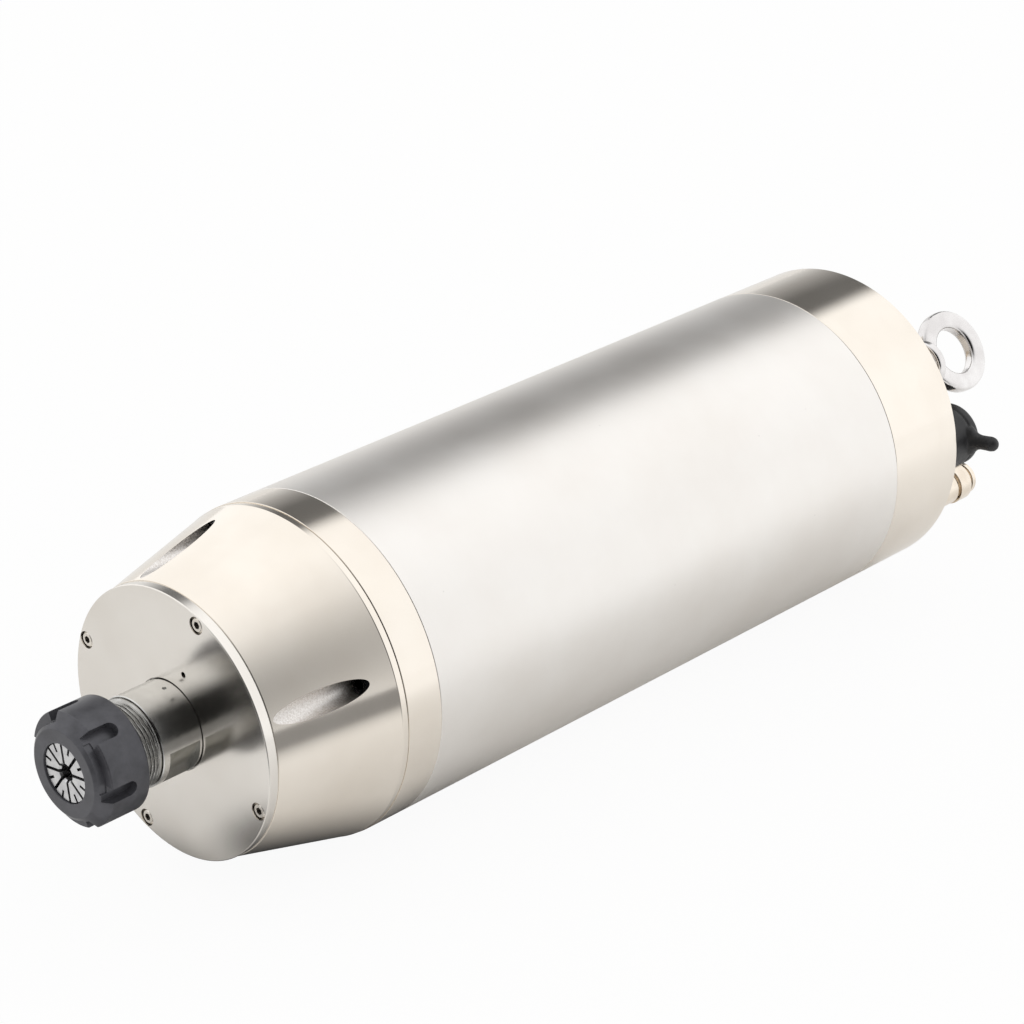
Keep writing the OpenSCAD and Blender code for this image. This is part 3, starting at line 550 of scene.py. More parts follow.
# Drilled pocket walls: bright, torn into short grains by the drill
drilled_wall = worked_steel("drilled_pocket_wall", "#FBF8F5", "#D9D3CD", (0.36, 0.55),
                            lay_mm=0.3, depth=0.8, cloud_mm=0.6)
# Painted shade in deep sockets and on pocket floors: dull dark steel that stands in for the shade in
# these recesses
painted_recess_shade = worked_steel("painted_recess_shade", "#4A4744", "#33312F", (0.5, 0.65), lay_mm=0.4, depth=0.3,
                           cloud_mm=1)


def in_pocket(face, reach, station):
    """Whether a face of the nose lies under the skin of its cone, inside a pocket"""
    cone_r = NOSE_FRONT_R + (NOSE_BACK_R - NOSE_FRONT_R) * (station - nose_s) / (CONE_END_S - nose_s)
    return 50.2 < reach < min(cone_r, NOSE_BACK_R) - 0.12 and nose_s + 0.3 < station < ring_s - 0.2


def on_pocket_floor(face, reach, station):
    """Whether a face of a pocket lies on its floor"""
    return in_pocket(face, reach, station) and station > POCKET_FLOOR_S - 0.1


refinish(nose, drilled_wall, in_pocket)
# The pocket floors take the painted shade
refinish(nose, painted_recess_shade, on_pocket_floor)

# Pocket screws: blackened alloy steel, cold headed, with a chamfered and
# knurled head and a hexagon socket.


def cap_screw(name, head_s, head_h, head_r, shank_r, end_s, key_w, offset, steps=64):
    """A socket head screw at clock angle 0; it points the way that end_s lies"""
    way = 1 if end_s > head_s else -1
    under_head_s = head_s + way * head_h
    knurls = 30
    knurl_depth = 0.09
    knurled_s = [head_s + way * head_h * t for t in (0.22, 0.9)]
    outline = [(0, head_s), (head_r - 0.45, head_s), (head_r, knurled_s[0] - way * 0.05),
               (head_r, knurled_s[0]), (head_r, knurled_s[1]), (head_r - 0.12, under_head_s),
               (shank_r, under_head_s), (shank_r, end_s - way * 0.4), (shank_r - 0.4, end_s), (0, end_s)]

    def grip(s, angle):
        """Depth of the knurls at a station and an angle"""
        if not min(knurled_s) - 0.01 <= s <= max(knurled_s) + 0.01:
            return 0
        return knurl_depth * (0.5 + 0.5 * math.cos(knurls * angle))

    screw = turned(name, outline, ease=0.08, centre=(offset, 0), steps=steps * 2, relief=grip)
    key_r = key_w / math.sqrt(3)
    key = turned("key", [(0, head_s - way), (key_r, head_s - way), (key_r, head_s + way * head_h * 0.5),
                         (0, head_s + way * head_h * 0.62)],
                 ease=0, centre=(offset, 0), steps=6)
    cut(screw, key)
    return screw


# Black oxide on steel: dark grey satin, clouded a little lighter in places
black_oxide, tree = blank_material("black_oxide_steel")
place = put(tree, "ShaderNodeTexCoord")
stain = put(tree, "ShaderNodeTexNoise",
            {"Vector": place.outputs["Object"], "Scale": 160.0, "Detail": 5.0, "Roughness": 0.6})
grain = put(tree, "ShaderNodeTexNoise",
            {"Vector": place.outputs["Object"], "Scale": 2600.0, "Detail": 2.0})
shade = put(tree, "ShaderNodeMapRange",
            {"Value": stain.outputs["Fac"], "From Min": 0.3, "From Max": 0.7})
colour = put(tree, "ShaderNodeMix",
             {0: shade.outputs[0], 6: linear("#434347"), 7: linear("#57575C")}, data_type="RGBA")
gloss = put(tree, "ShaderNodeMapRange",
            {"Value": stain.outputs["Fac"], "From Min": 0.3, "From Max": 0.7,
             "To Min": 0.31, "To Max": 0.42})
relief = put(tree, "ShaderNodeBump",
             {"Height": grain.outputs["Fac"], "Strength": 0.25, "Distance": 0.00004})
shader = put(tree, "ShaderNodeBsdfPrincipled",
             {"Base Color": colour.outputs[2], "Metallic": 0.35, "Roughness": gloss.outputs[0],
              "Normal": relief.outputs[0]})
put(tree, "ShaderNodeOutputMaterial", {"Surface": shader.outputs[0]})

# The same finish on the screws is thinner and blacker, wet with oil
blackened_screw = worked_steel("blackened_screw_steel", "#2A2A2C", "#1C1C1E", (0.3, 0.42), lay_mm=0.5,
                               depth=0.3, cloud_mm=2)
nose_screws = cap_screw("pocket_screws", head_s=POCKET_FLOOR_S - 5, head_h=5, head_r=4.1, shank_r=2.4,
                        end_s=ends("nose_screws")[1], key_w=4, offset=POCKET_OFFSET)
evenly_round(nose_screws, NOSE_SCREWS, POCKET_CLOCK)
smooth_turned(nose_screws, limit=40)
dress(nose_screws, blackened_screw, "housing", "black_oxide", "nose_screws")

# Cover plate: face turned stainless disc over the front bearings.
# It has four counterbored screws near its rim, one small vent and a close bore.

PLATE_T = nose_s
PLATE_EDGE = 0.25
LIP_T = 1.8
PLATE_SCREW_R = 46.9
PLATE_CLOCK = 70
PLATE_SCREWS = 4
COUNTERBORE_R = 3.25
VENT_R = 1.1
VENT_OFFSET = 23.8
JOURNAL_R = 16.7
PLATE_BORE_R = JOURNAL_R + 0.35
LABYRINTH_R = 25.6
SPIGOT_END_S = 9.8
plate = turned("cover_plate_faced", [
    (PLATE_BORE_R, 0), (plate_r - PLATE_EDGE, 0), (plate_r, PLATE_EDGE), (plate_r, PLATE_T),
    (30.9, PLATE_T), (30.9, SPIGOT_END_S), (LABYRINTH_R, SPIGOT_END_S), (LABYRINTH_R, LIP_T),
    (PLATE_BORE_R, LIP_T)], ease=0.12, steps=FINE_STEPS)
cut(plate,
    evenly_round(drill(COUNTERBORE_R, -1, 2.5, PLATE_SCREW_R, 48), PLATE_SCREWS, PLATE_CLOCK),
    evenly_round(drill(1.7, 2, PLATE_T + 1, PLATE_SCREW_R, 32), PLATE_SCREWS, PLATE_CLOCK),
    evenly_round(drill(VENT_R, -1, LIP_T + 1, VENT_OFFSET, 32), 1, PLATE_CLOCK))
smooth_turned(plate, steps=FINE_STEPS)
# Face turned stainless: the fine spiral lay smears reflections out from the centre
faced_stainless = worked_steel("face_turned_stainless", "#EBE7E1", "#E3DED7", (0.15, 0.22),
                               lay="face", lay_mm=0.5, depth=0.12, cloud_mm=40, blur=0.5, specks=0.3)
dress(plate, faced_stainless, "housing", "turned_steel", "cover_plate")

# Plate screws: small stainless socket head screws, cold headed, that hold the
# cover plate. Their heads are sunk into its counterbores.

# Plain stainless screw steel: bright, a little rough from cold heading
screw_steel = worked_steel("cold_headed_stainless", "#E9E4DC", "#D9D2C8", (0.22, 0.34),
                           lay_mm=0.8, depth=0.2, cloud_mm=3)
plate_screws = cap_screw("plate_screws_stainless", head_s=0.3, head_h=2.2, head_r=2.75,
                         shank_r=1.45, end_s=15, key_w=2.5, offset=PLATE_SCREW_R, steps=48)
evenly_round(plate_screws, PLATE_SCREWS, PLATE_CLOCK)
smooth_turned(plate_screws, limit=40)
dress(plate_screws, screw_steel, "housing", "polished_steel", "plate_screws")


def in_key_socket(face, reach, station):
    """Whether a face of the plate screws lies in the hexagon socket of one of them"""
    for k in range(PLATE_SCREWS):
        clock_angle = math.radians(PLATE_CLOCK + 360 / PLATE_SCREWS * k)
        beside = math.hypot(face.center.x / MM - PLATE_SCREW_R * math.cos(clock_angle),
                            face.center.z / MM - PLATE_SCREW_R * math.sin(clock_angle))
        if beside < 1.5 and 0.45 < station < 2.4:
            return True
    return False


# The hexagon sockets take the painted shade
refinish(plate_screws, painted_recess_shade, in_key_socket)

# Shaft: one ground alloy steel shaft with a thread on its nose for the nut,
# two spanner flats on the journal, and seats for bearings and rotor.

shaft_s, shaft_end_s = ends("spindle_shaft")
THREAD_END_S = -17.0
THREAD_R = 16.0
THREAD_DEPTH = 0.85
PITCH = 1.5
TAPER_END_S = shaft_s + 28
BORE_R = 8
BORE_END_S = shaft_s + 57
FLAT_R = 14.42
FLAT_FROM_S, FLAT_TO_S = -14.3, -1.1
FLAT_CLOCK = -27


def groove(s, angle, pitch, crest=0.1, slope=0.8):
    """Depth of a screw thread at a station and an angle: 0 on its crest, 1 at its root"""
    wave = abs(2 * ((s / pitch + angle / math.tau) % 1.0) - 1)
    return min(1.0, max(0.0, (wave - crest) / slope))


def thread_relief(s, angle):
    """Depth of the nose thread, which runs out before the journal"""
    if not shaft_s + 0.4 < s < THREAD_END_S - 0.35:
        return 0.0
    run_out = min(1.0, max(0.0, (THREAD_END_S - 0.9 - s) / 1.2))
    return THREAD_DEPTH * run_out * groove(s, angle, PITCH, slope=0.75)


rows_per_turn = 12
thread_rows = [(THREAD_R, shaft_s + 0.7 + PITCH * k / rows_per_turn)
               for k in range(int((THREAD_END_S - 0.4 - shaft_s - 0.7) / PITCH * rows_per_turn))]
FRONT_SEAT_R = 17.45
SHOULDER_R = 22
SHOULDER_END_S = SHOULDER_S + 18
ROTOR_SEAT_R = 17.95
rotor_seat_end_s = ends("rotor_core")[1] + 26
REAR_SEAT_R = 12.45
rear_bearing_s = ends("rear_inner_races")[0]
shaft = turned("spindle_shaft_ground", [
    (BORE_R, BORE_END_S), (BORE_R, TAPER_END_S), (9.065, TAPER_END_S), (13, shaft_s),
    (15.0, shaft_s), (15.2, shaft_s + 0.4)] + thread_rows + [
    (THREAD_R, THREAD_END_S - 0.4), (THREAD_R - 0.5, THREAD_END_S - 0.1),
    (THREAD_R - 0.5, THREAD_END_S), (JOURNAL_R - 0.3, THREAD_END_S),
    (JOURNAL_R, THREAD_END_S + 0.3), (JOURNAL_R, 2), (FRONT_SEAT_R, 2), (FRONT_SEAT_R, SHOULDER_S),
    (SHOULDER_R, SHOULDER_S), (SHOULDER_R, SHOULDER_END_S), (ROTOR_SEAT_R, SHOULDER_END_S),
    (ROTOR_SEAT_R, rotor_seat_end_s), (15, rotor_seat_end_s + 4), (15, rear_bearing_s),
    (REAR_SEAT_R, rear_bearing_s), (REAR_SEAT_R, shaft_end_s - 5), (10, shaft_end_s - 4),
    (10, shaft_end_s), (0, shaft_end_s), (0, BORE_END_S)], ease=0, relief=thread_relief)


def prism(name, outline, from_x, to_x):
    """An outline of (height, station) in mm, drawn out along X: a cutter at clock angle 0"""
    mesh = bpy.data.meshes.new(name)
    count = len(outline)
    points = [(x * MM, s * MM + FACE_Y, z * MM) for x in (from_x, to_x) for z, s in outline]
    faces = [tuple(range(count)), tuple(range(2 * count - 1, count - 1, -1))]
    faces += [(i, i + count, (i + 1) % count + count, (i + 1) % count) for i in range(count)]
    mesh.from_pydata(points, [], faces)
    shape = bmesh.new()
    shape.from_mesh(mesh)
    bmesh.ops.recalc_face_normals(shape, faces=shape.faces)
    shape.to_mesh(mesh)
    shape.free()
    piece = bpy.data.objects.new(name, mesh)
    scene.collection.objects.link(piece)
    return piece


def block(name, from_x, to_x, half_z, from_s, to_s):
    """A plain rectangular cutter at clock angle 0"""
    return prism(name, [(-half_z, from_s), (half_z, from_s), (half_z, to_s), (-half_z, to_s)],
                 from_x, to_x)


cut(shaft, evenly_round(block("flat", FLAT_R, 20, 15, FLAT_FROM_S, FLAT_TO_S), 2, FLAT_CLOCK))
DIMPLE_S = -3.9
DIMPLE_CLOCK = 82
dimple = turned("dimple", [(0, 15.2), (0.8, 16.0), (0.8, 17.6), (0, 17.6)], ease=0, steps=32)
dimple.data.transform(Matrix.Translation((0, DIMPLE_S * MM + FACE_Y, 0))
                      @ Matrix.Rotation(math.radians(-90), 4, "Z")
                      @ Matrix.Translation((0, -FACE_Y, 0)))
cut(shaft, evenly_round(dimple, 1, DIMPLE_CLOCK))
smooth_turned(shaft, limit=30)
# Ground shaft steel: neutral grey, fine lines round the journal
ground_shaft = worked_steel("ground_shaft_steel", "#D8D7D4", "#CBCAC7", (0.16, 0.26),
                            lay="round", lay_mm=0.35, depth=0.2, cloud_mm=12)
dress(shaft, ground_shaft, "rotor", "ground_steel", "spindle_shaft")
# Screw cut thread: duller and darker than the ground journal
thread_steel = worked_steel("screw_cut_thread", "#BDBCB9", "#A3A29F", (0.2, 0.32),
                            lay="round", lay_mm=0.3, depth=0.25, cloud_mm=5)
# Milled spanner flats, left as cut: a little duller than the journal, and darker than it with painted
# shade, which stands in for the dark that the downward facing flats reflect
flat_painted_shade = worked_steel("milled_flat_steel", "#989792", "#87867F", (0.28, 0.38),
                          lay="along", lay_mm=0.5, depth=0.1, cloud_mm=6)
flat_way = Vector((math.cos(math.radians(FLAT_CLOCK)), 0, math.sin(math.radians(FLAT_CLOCK))))


def on_thread(face, reach, station):
    """Whether a face of the shaft lies on its nose thread"""
    return shaft_s + 0.1 < station < THREAD_END_S and reach > 14.6


def on_flat(face, reach, station):
    """Whether a face of the shaft lies on one of its spanner flats"""
    level = abs(face.normal.dot(flat_way)) > 0.999
    return (FLAT_FROM_S < station < FLAT_TO_S and level
            and abs(abs(face.center.dot(flat_way)) / MM - FLAT_R) < 0.1)


refinish(shaft, thread_steel, on_thread)
# The spanner flats take the painted shade
refinish(shaft, flat_painted_shade, on_flat)

# Collet: spring steel sleeve, ground inside and out, slit into segments from
# both ends so that it closes on the tool when the nut draws it into the taper.

collet_s, collet_end_s = ends("collet")
COLLET_R = 13.0
COLLET_FACE_R = 10.6
COLLET_CLOCK = 8.5
COLLET_SLITS = 8
SLIT_W = 1.15
NOTCH_W = 1.0
REAR_SLIT_W = 0.5
TOOL_R = 3
NOSE_ANGLE = math.radians(30)
groove_s = collet_s + 5
collet = turned("collet_slit", [
    (TOOL_R, collet_s + 0.8), (3.7, collet_s), (COLLET_FACE_R, collet_s),
    (COLLET_R, collet_s + (COLLET_R - COLLET_FACE_R) / math.tan(NOSE_ANGLE)),
    (COLLET_R, groove_s), (11.4, groove_s + 0.3), (11.4, groove_s + 2.5), (12.82, collet_s + 8.1),
    (9.19, collet_end_s - 0.5), (8.6, collet_end_s), (TOOL_R, collet_end_s)], ease=0.12)
between_slits = COLLET_CLOCK + 180 / COLLET_SLITS
cut(collet,
    evenly_round(block("slit", 1.8, 15, SLIT_W / 2, collet_s - 1, collet_end_s - 6),
                 COLLET_SLITS, COLLET_CLOCK),
    evenly_round(block("notch", 7.6, 15, NOTCH_W / 2, collet_s - 1, collet_s + 4.5),
                 COLLET_SLITS, between_slits),
    evenly_round(block("rear_slit", 1.8, 15, REAR_SLIT_W / 2, groove_s + 4, collet_end_s + 1),
                 COLLET_SLITS, between_slits))
smooth_turned(collet, limit=30)
# Ground spring steel: bright silver grey, matt enough to hold its tone
collet_steel = worked_steel("ground_spring_steel", "#DADADA", "#C4C4C6", (0.30, 0.42),
                            lay="face", lay_mm=0.4, depth=0.3, cloud_mm=4)
dress(collet, collet_steel, "collet", "collet_steel", "collet")

# Clamping nut: turned steel, blackened, with six open slots for its spanner
# and three arcs of its face cut back between them.

nut_s, nut_end_s = ends("clamping_nut")
nut_r = half_width("clamping_nut")
NUT_HOLE_R = 10.9
NUT_FACE_R = 15.9
NUT_BORE_R = 16.12
SLOT_W = 5.6
SLOT_FLOOR_R = 17.6
SLOT_END_S = nut_s + 14
NUT_CLOCK = 55
SPANNER_SLOTS = 6
RECESSES = 3
RECESS_R = 17.2
RECESS_L = 3.8
LIP_R = 12.1
NUT_CONE_R = COLLET_R + 0.1


def nut_cone_s(r):
    """Station where the nut's inner cone has radius r, just clear of the collet's"""
    return collet_s + (r - 0.1 - COLLET_FACE_R) / math.tan(NOSE_ANGLE)


nut = turned("clamping_nut_slotted", [
    (NUT_HOLE_R, nut_s), (NUT_FACE_R, nut_s), (nut_r, nut_s + 4), (nut_r, nut_end_s - 0.6),
    (nut_r - 0.6, nut_end_s), (NUT_BORE_R + 0.6, nut_end_s), (NUT_BORE_R, nut_end_s - 0.6),
    (NUT_BORE_R, shaft_s - 0.3), (LIP_R, shaft_s - 0.6), (LIP_R, shaft_s - 1.9),
    (NUT_CONE_R, shaft_s - 2.3), (NUT_CONE_R, nut_cone_s(NUT_CONE_R)),
    (NUT_HOLE_R, nut_cone_s(NUT_HOLE_R))], ease=0.3)
half = SLOT_W / 2
slot_outline = [(-half, nut_s - 1), (half, nut_s - 1)] + [
    (half * math.cos(math.radians(a)), SLOT_END_S - half + half * math.sin(math.radians(a)))
    for a in range(0, 181, 12)]
slots = evenly_round(prism("slot", slot_outline, SLOT_FLOOR_R, 24), SPANNER_SLOTS, NUT_CLOCK)
recess = turned("recess", [(RECESS_R, nut_s - 1), (25, nut_s - 1), (25, nut_s + RECESS_L),
                           (RECESS_R, nut_s + RECESS_L)], ease=0, steps=32, sweep=360 / SPANNER_SLOTS)
cut(nut, slots, evenly_round(recess, RECESSES, NUT_CLOCK - 360 / SPANNER_SLOTS))
edges = nut.modifiers.new("broken_edges", "BEVEL")
edges.limit_method = "ANGLE"
edges.angle_limit = math.radians(40)
edges.width = 0.22 * MM
edges.segments = 2
edges.use_clamp_overlap = True
bake(nut)
smooth_turned(nut, limit=40)
dress(nut, black_oxide, "nut", "black_oxide", "clamping_nut")

# Rear cap: stainless cup turned and polished like the ring, with bosses inside.
# Its flat rear face carries the eye, the receptacle and the water fittings.

rear_s = ends("rear_cap")[1]
SOCKET_CLOCK = 1
SOCKET_OFFSET = 47.0
SOCKET_HOLE_R = 9.05
EYE_CLOCK = 40
EYE_OFFSET = 47.9
FITTING_CLOCK = -30
FITTING_OFFSET = 50.3
CAP_SCREW_CLOCK = 22.5
CAP_SCREW_OFFSET = 56.0
CAP_SCREWS = 4
inside_s = rear_s - 8


def at(clock_angle, offset):
    """The (x, z) in mm of a point beside the axis"""
    return offset * math.cos(math.radians(clock_angle)), offset * math.sin(math.radians(clock_angle))


rear_cap = turned("rear_cap_polished", [
    (47, cap_s - 8), (SPIGOT_R, cap_s - 8), (SPIGOT_R, cap_s), (housing_r - TUBE_EDGE, cap_s),
    (housing_r, cap_s + TUBE_EDGE), (housing_r, rear_s - 0.5), (housing_r - 0.5, rear_s),
    (0, rear_s), (0, inside_s), (43, inside_s), (47, inside_s - 4)], ease=0.15, steps=FINE_STEPS)
cut(rear_cap,
    evenly_round(drill(SOCKET_HOLE_R, inside_s - 20, rear_s + 1, SOCKET_OFFSET), 1, SOCKET_CLOCK),
    evenly_round(drill(4.9, rear_s - 7.6, rear_s + 1, FITTING_OFFSET, 48), 2, FITTING_CLOCK),
    evenly_round(drill(3.8, rear_s - 4.4, rear_s + 1, CAP_SCREW_OFFSET, 48),
                 CAP_SCREWS, CAP_SCREW_CLOCK),
    evenly_round(drill(2.25, cap_s - 1, rear_s - 4, CAP_SCREW_OFFSET, 32),
                 CAP_SCREWS, CAP_SCREW_CLOCK))
smooth_turned(rear_cap, steps=FINE_STEPS)
dress(rear_cap, polished_stainless, "housing", "polished_steel", "rear_cap")

# Rear cap screws: blackened socket head screws like those of the nose, put in
# from behind to hold the cap to the tube.

cap_screws = cap_screw("rear_cap_screws_black", head_s=rear_s - 0.4, head_h=4, head_r=3.5,
                       shank_r=1.9, end_s=cap_s - 13, key_w=3, offset=CAP_SCREW_OFFSET)
evenly_round(cap_screws, CAP_SCREWS, CAP_SCREW_CLOCK)
smooth_turned(cap_screws, limit=40)
dress(cap_screws, blackened_screw, "housing", "black_oxide", "rear_cap_screws")

# Lifting eye: drop forged steel eye bolt, plated bright, screwed to the rear face.
# Collar, neck and flattened ring run into each other with small fillets.

EYE_RING_R = 13.3
EYE_H = 27.0
EYE_HALF_W = 3.75
EYE_HALF_T = 2.85
EYE_SQUARE = 0.45
EYE_TURN = 36
EYE_PITCH = 1.25
SHANK_R = 3.95
collar_s = rear_s + 7
collar_end_s = collar_s + 8.5


def skin_over(piece, loops, closed):
    """Adds a skin over loops of points to a piece: a closed ring, or a bar with two ends"""
    shape = bmesh.new()
    shape.from_mesh(piece.data)
    rings = [[shape.verts.new(point) for point in loop] for loop in loops]
    for k in range(0 if closed else 1, len(rings)):
        this, last = rings[k], rings[k - 1]
        for j in range(len(this)):
            shape.faces.new((this[j], last[j], last[j - 1], this[j - 1]))
    if not closed:
        shape.faces.new(rings[0])
        shape.faces.new(rings[-1])
    bmesh.ops.recalc_face_normals(shape, faces=shape.faces)
    shape.to_mesh(piece.data)
    shape.free()


def run_together(piece, voxel_mm, passes):
    """Runs the shells of a piece into one skin, and rounds the corners where they meet"""
    melt = piece.modifiers.new("one_skin", "REMESH")
    melt.mode = "VOXEL"
    melt.voxel_size = voxel_mm * MM
    soften = piece.modifiers.new("fillets", "SMOOTH")
    soften.factor = 0.5
    soften.iterations = passes
    bake(piece)


eye_x, eye_z = at(EYE_CLOCK, EYE_OFFSET)
eye = turned("lifting_eye_forged", [
    (0, collar_s), (9.3, collar_s), (9.95, collar_s + 0.7), (9.95, collar_s + 3.6),
    (8.7, collar_s + 4.9), (6.4, collar_s + 5.6), (5.2, collar_s + 6.8), (4.4, collar_end_s),
    (0, collar_end_s)], ease=0.3, centre=(eye_x, eye_z), steps=96)
eye_middle = Vector((eye_x * MM, (rear_s + EYE_H) * MM + FACE_Y, eye_z * MM))
eye_axis = Vector((math.cos(math.radians(EYE_TURN)), 0, math.sin(math.radians(EYE_TURN))))
eye_side = Vector((-eye_axis.z, 0, eye_axis.x))
around_n, section_n = 128, 40
loops = []
for k in range(around_n):
    a = math.tau * k / around_n
    out = Vector((0, 1, 0)) * math.cos(a) + eye_side * math.sin(a)
    loop = []
    for j in range(section_n):
        b = math.tau * j / section_n
        u = math.copysign(abs(math.cos(b)) ** EYE_SQUARE, math.cos(b)) * EYE_HALF_W
        w = math.copysign(abs(math.sin(b)) ** EYE_SQUARE, math.sin(b)) * EYE_HALF_T
        loop.append(eye_middle + out * ((EYE_RING_R + u) * MM) + eye_axis * (w * MM))
    loops.append(loop)
skin_over(eye, loops, closed=True)
run_together(eye, voxel_mm=0.42, passes=5)


def shank_relief(s, angle):
    """Depth of the thread on the eye's shank"""
    if not rear_s - 11 < s < collar_s - 1.0:
        return 0.0
    return 0.6 * groove(s, angle, EYE_PITCH)


shank_rows = [(SHANK_R, rear_s - 11.2 + EYE_PITCH * k / 10) for k in range(140)]
shank = turned("shank", [(0, rear_s - 11.95), (3.3, rear_s - 11.95)] + shank_rows
               + [(SHANK_R, collar_s + 0.6), (0, collar_s + 0.6)],
               ease=0, centre=(eye_x, eye_z), steps=64, relief=shank_relief)
shape = bmesh.new()
shape.from_mesh(eye.data)
shape.from_mesh(shank.data)
shape.to_mesh(eye.data)
shape.free()
bpy.data.objects.remove(shank)
shade_smooth(eye)
# Bright plated forging: silver, glossy, faintly uneven under the plating
plated_forging = worked_steel("bright_plated_forging", "#E6E4E3", "#D6D3D2", (0.13, 0.2),
                              lay_mm=2.2, depth=0.5, cloud_mm=9)
dress(eye, plated_forging, "housing", "nickel", "lifting_eye")

# Power receptacle: nickel plated shell with a flange and a coarse thread, an
# insert of moulded plastic with four contacts, and four small flange screws.

socket_x, socket_z = at(SOCKET_CLOCK, SOCKET_OFFSET)
SHELL_R = 11.0
SHELL_H = 12.5
SHELL_PITCH = 1.0
INSERT_R = 7.97
CONTACTS = 4
CONTACT_OFFSET = 4
CONTACT_CLOCK = 45 + SOCKET_CLOCK


def shell_relief(s, angle):
    """Depth of the thread on the receptacle's shell"""
    if not rear_s + 2.6 < s < rear_s + SHELL_H - 0.9:
        return 0.0
    return 0.5 * groove(s, angle, SHELL_PITCH, crest=0, slope=1)


shell_rows = [(SHELL_R, rear_s + 2.7 + SHELL_PITCH * k / 10) for k in range(88)]
shell = turned("receptacle_shell", [
    (7.98, rear_s - 14), (9, rear_s - 14), (9, rear_s), (13.3, rear_s), (13.6, rear_s + 0.3),
    (13.6, rear_s + 1.2), (13.3, rear_s + 1.5), (10.3, rear_s + 1.5), (10.3, rear_s + 2.4)]
    + shell_rows + [(10.6, rear_s + SHELL_H - 0.6), (10.3, rear_s + SHELL_H), (8.3, rear_s + SHELL_H),
                    (7.98, rear_s + SHELL_H - 0.3)],
    ease=0, centre=(socket_x, socket_z), steps=128, relief=shell_relief)
smooth_turned(shell, (socket_x, socket_z), 128, 30)
# Nickel plating on turned brass: warm and bright
nickel_plate = worked_steel("nickel_plated_brass", "#F0E6D8", "#E2D6C6", (0.14, 0.22),
                            lay="round", lay_mm=0.5, depth=0.25, cloud_mm=6)
dress(shell, nickel_plate, "housing", "nickel", "socket_shell")

insert = turned("receptacle_insert", [
    (0, rear_s - 12), (INSERT_R, rear_s - 12), (INSERT_R, rear_s + 0.7), (7.6, rear_s + 1),
    (0, rear_s + 1)], ease=0.15, centre=(socket_x, socket_z), steps=96)
cut(insert, evenly_round(drill(1.32, rear_s - 13, rear_s + 2, CONTACT_OFFSET, 32),
                         CONTACTS, CONTACT_CLOCK, (socket_x, socket_z)))
smooth_turned(insert, (socket_x, socket_z), 96)
# Glass filled moulding: dark and even, with a fine bloom
insert_plastic, tree = blank_material("moulded_phenolic")
place = put(tree, "ShaderNodeTexCoord")
bloom = put(tree, "ShaderNodeTexNoise",
            {"Vector": place.outputs["Object"], "Scale": 900.0, "Detail": 3.0})
tone = put(tree, "ShaderNodeMix",
           {0: bloom.outputs["Fac"], 6: linear("#26262A"), 7: linear("#34343A")}, data_type="RGBA")
fine = put(tree, "ShaderNodeBump",
           {"Height": bloom.outputs["Fac"], "Strength": 0.3, "Distance": 0.00003})
shader = put(tree, "ShaderNodeBsdfPrincipled",
             {"Base Color": tone.outputs[2], "Roughness": 0.42, "Normal": fine.outputs[0]})
put(tree, "ShaderNodeOutputMaterial", {"Surface": shader.outputs[0]})
dress(insert, insert_plastic, "housing", "insulator", "socket_insulator")

pins = turned("receptacle_contacts", [
    (0, rear_s - 16), (1.1, rear_s - 16), (1.25, rear_s - 15.6), (1.25, rear_s + 5.0),
    (1.14, rear_s + 5.55), (0.85, rear_s + 5.95), (0.45, rear_s + 6.2), (0, rear_s + 6.25)],
    ease=0, centre=(CONTACT_OFFSET, 0), steps=32)
evenly_round(pins, CONTACTS, CONTACT_CLOCK, (socket_x, socket_z))
shade_smooth(pins)
pins.data.set_sharp_from_angle(angle=math.radians(40))
# Gilt contact: yellow and smooth
gilt = worked_steel("gilt_contact", "#E8C374", "#D9AE5C", (0.16, 0.24),
                    lay_mm=0.6, depth=0.1, cloud_mm=3)
dress(pins, gilt, "housing", "contact", "socket_pins")

flange_screws = turned("receptacle_flange_screws", [
    (0, rear_s - 5), (0.9, rear_s - 5), (0.9, rear_s + 0.6), (0.95, rear_s + 0.9),
    (0.95, rear_s + 1.2), (0.6, rear_s + 1.4), (0, rear_s + 1.4)], ease=0, centre=(12.2, 0), steps=32)
cut(flange_screws, block("driver_slot", 11.1, 13.3, 0.14, rear_s + 1.0, rear_s + 2))
evenly_round(flange_screws, 4, CONTACT_CLOCK, (socket_x, socket_z))
smooth_turned(flange_screws, limit=40)
dress(flange_screws, screw_steel, "housing", "polished_steel", "socket_screws")

# Dust cap: moulded black rubber pushed over the receptacle.
# A thick skirt, a shoulder and dome, and a pull tab on one side.

SKIRT_R = 12.9
SKIRT_IN_R = 11.3
TAB_SIDES = 24
cap_base_s = rear_s + 1.8
dome_s = rear_s + 17.0
dome = [(SKIRT_R * math.cos(math.radians(a)), dome_s + 5.0 * math.sin(math.radians(a)))
        for a in range(0, 90, 9)]
dust_cap = turned("dust_cap_rubber", [
    (SKIRT_IN_R, cap_base_s), (12.6, cap_base_s), (SKIRT_R, cap_base_s + 0.4), (SKIRT_R, dome_s - 3.6),
    (12.3, dome_s - 3.2), (12.3, dome_s - 2.6), (SKIRT_R, dome_s - 2.2)] + dome
    + [(0, dome_s + 5), (0, rear_s + SHELL_H + 0.6), (SKIRT_IN_R, rear_s + SHELL_H + 0.6)],
    ease=0, centre=(socket_x, socket_z), steps=144)
tab_turn = math.radians(-9)
tab_middle = Vector((socket_x * MM, (dome_s - 3.5) * MM + FACE_Y, socket_z * MM))
tab_out = Vector((math.cos(tab_turn), 0, -math.sin(tab_turn)))
tab_side = Vector((-tab_out.z, 0, tab_out.x))
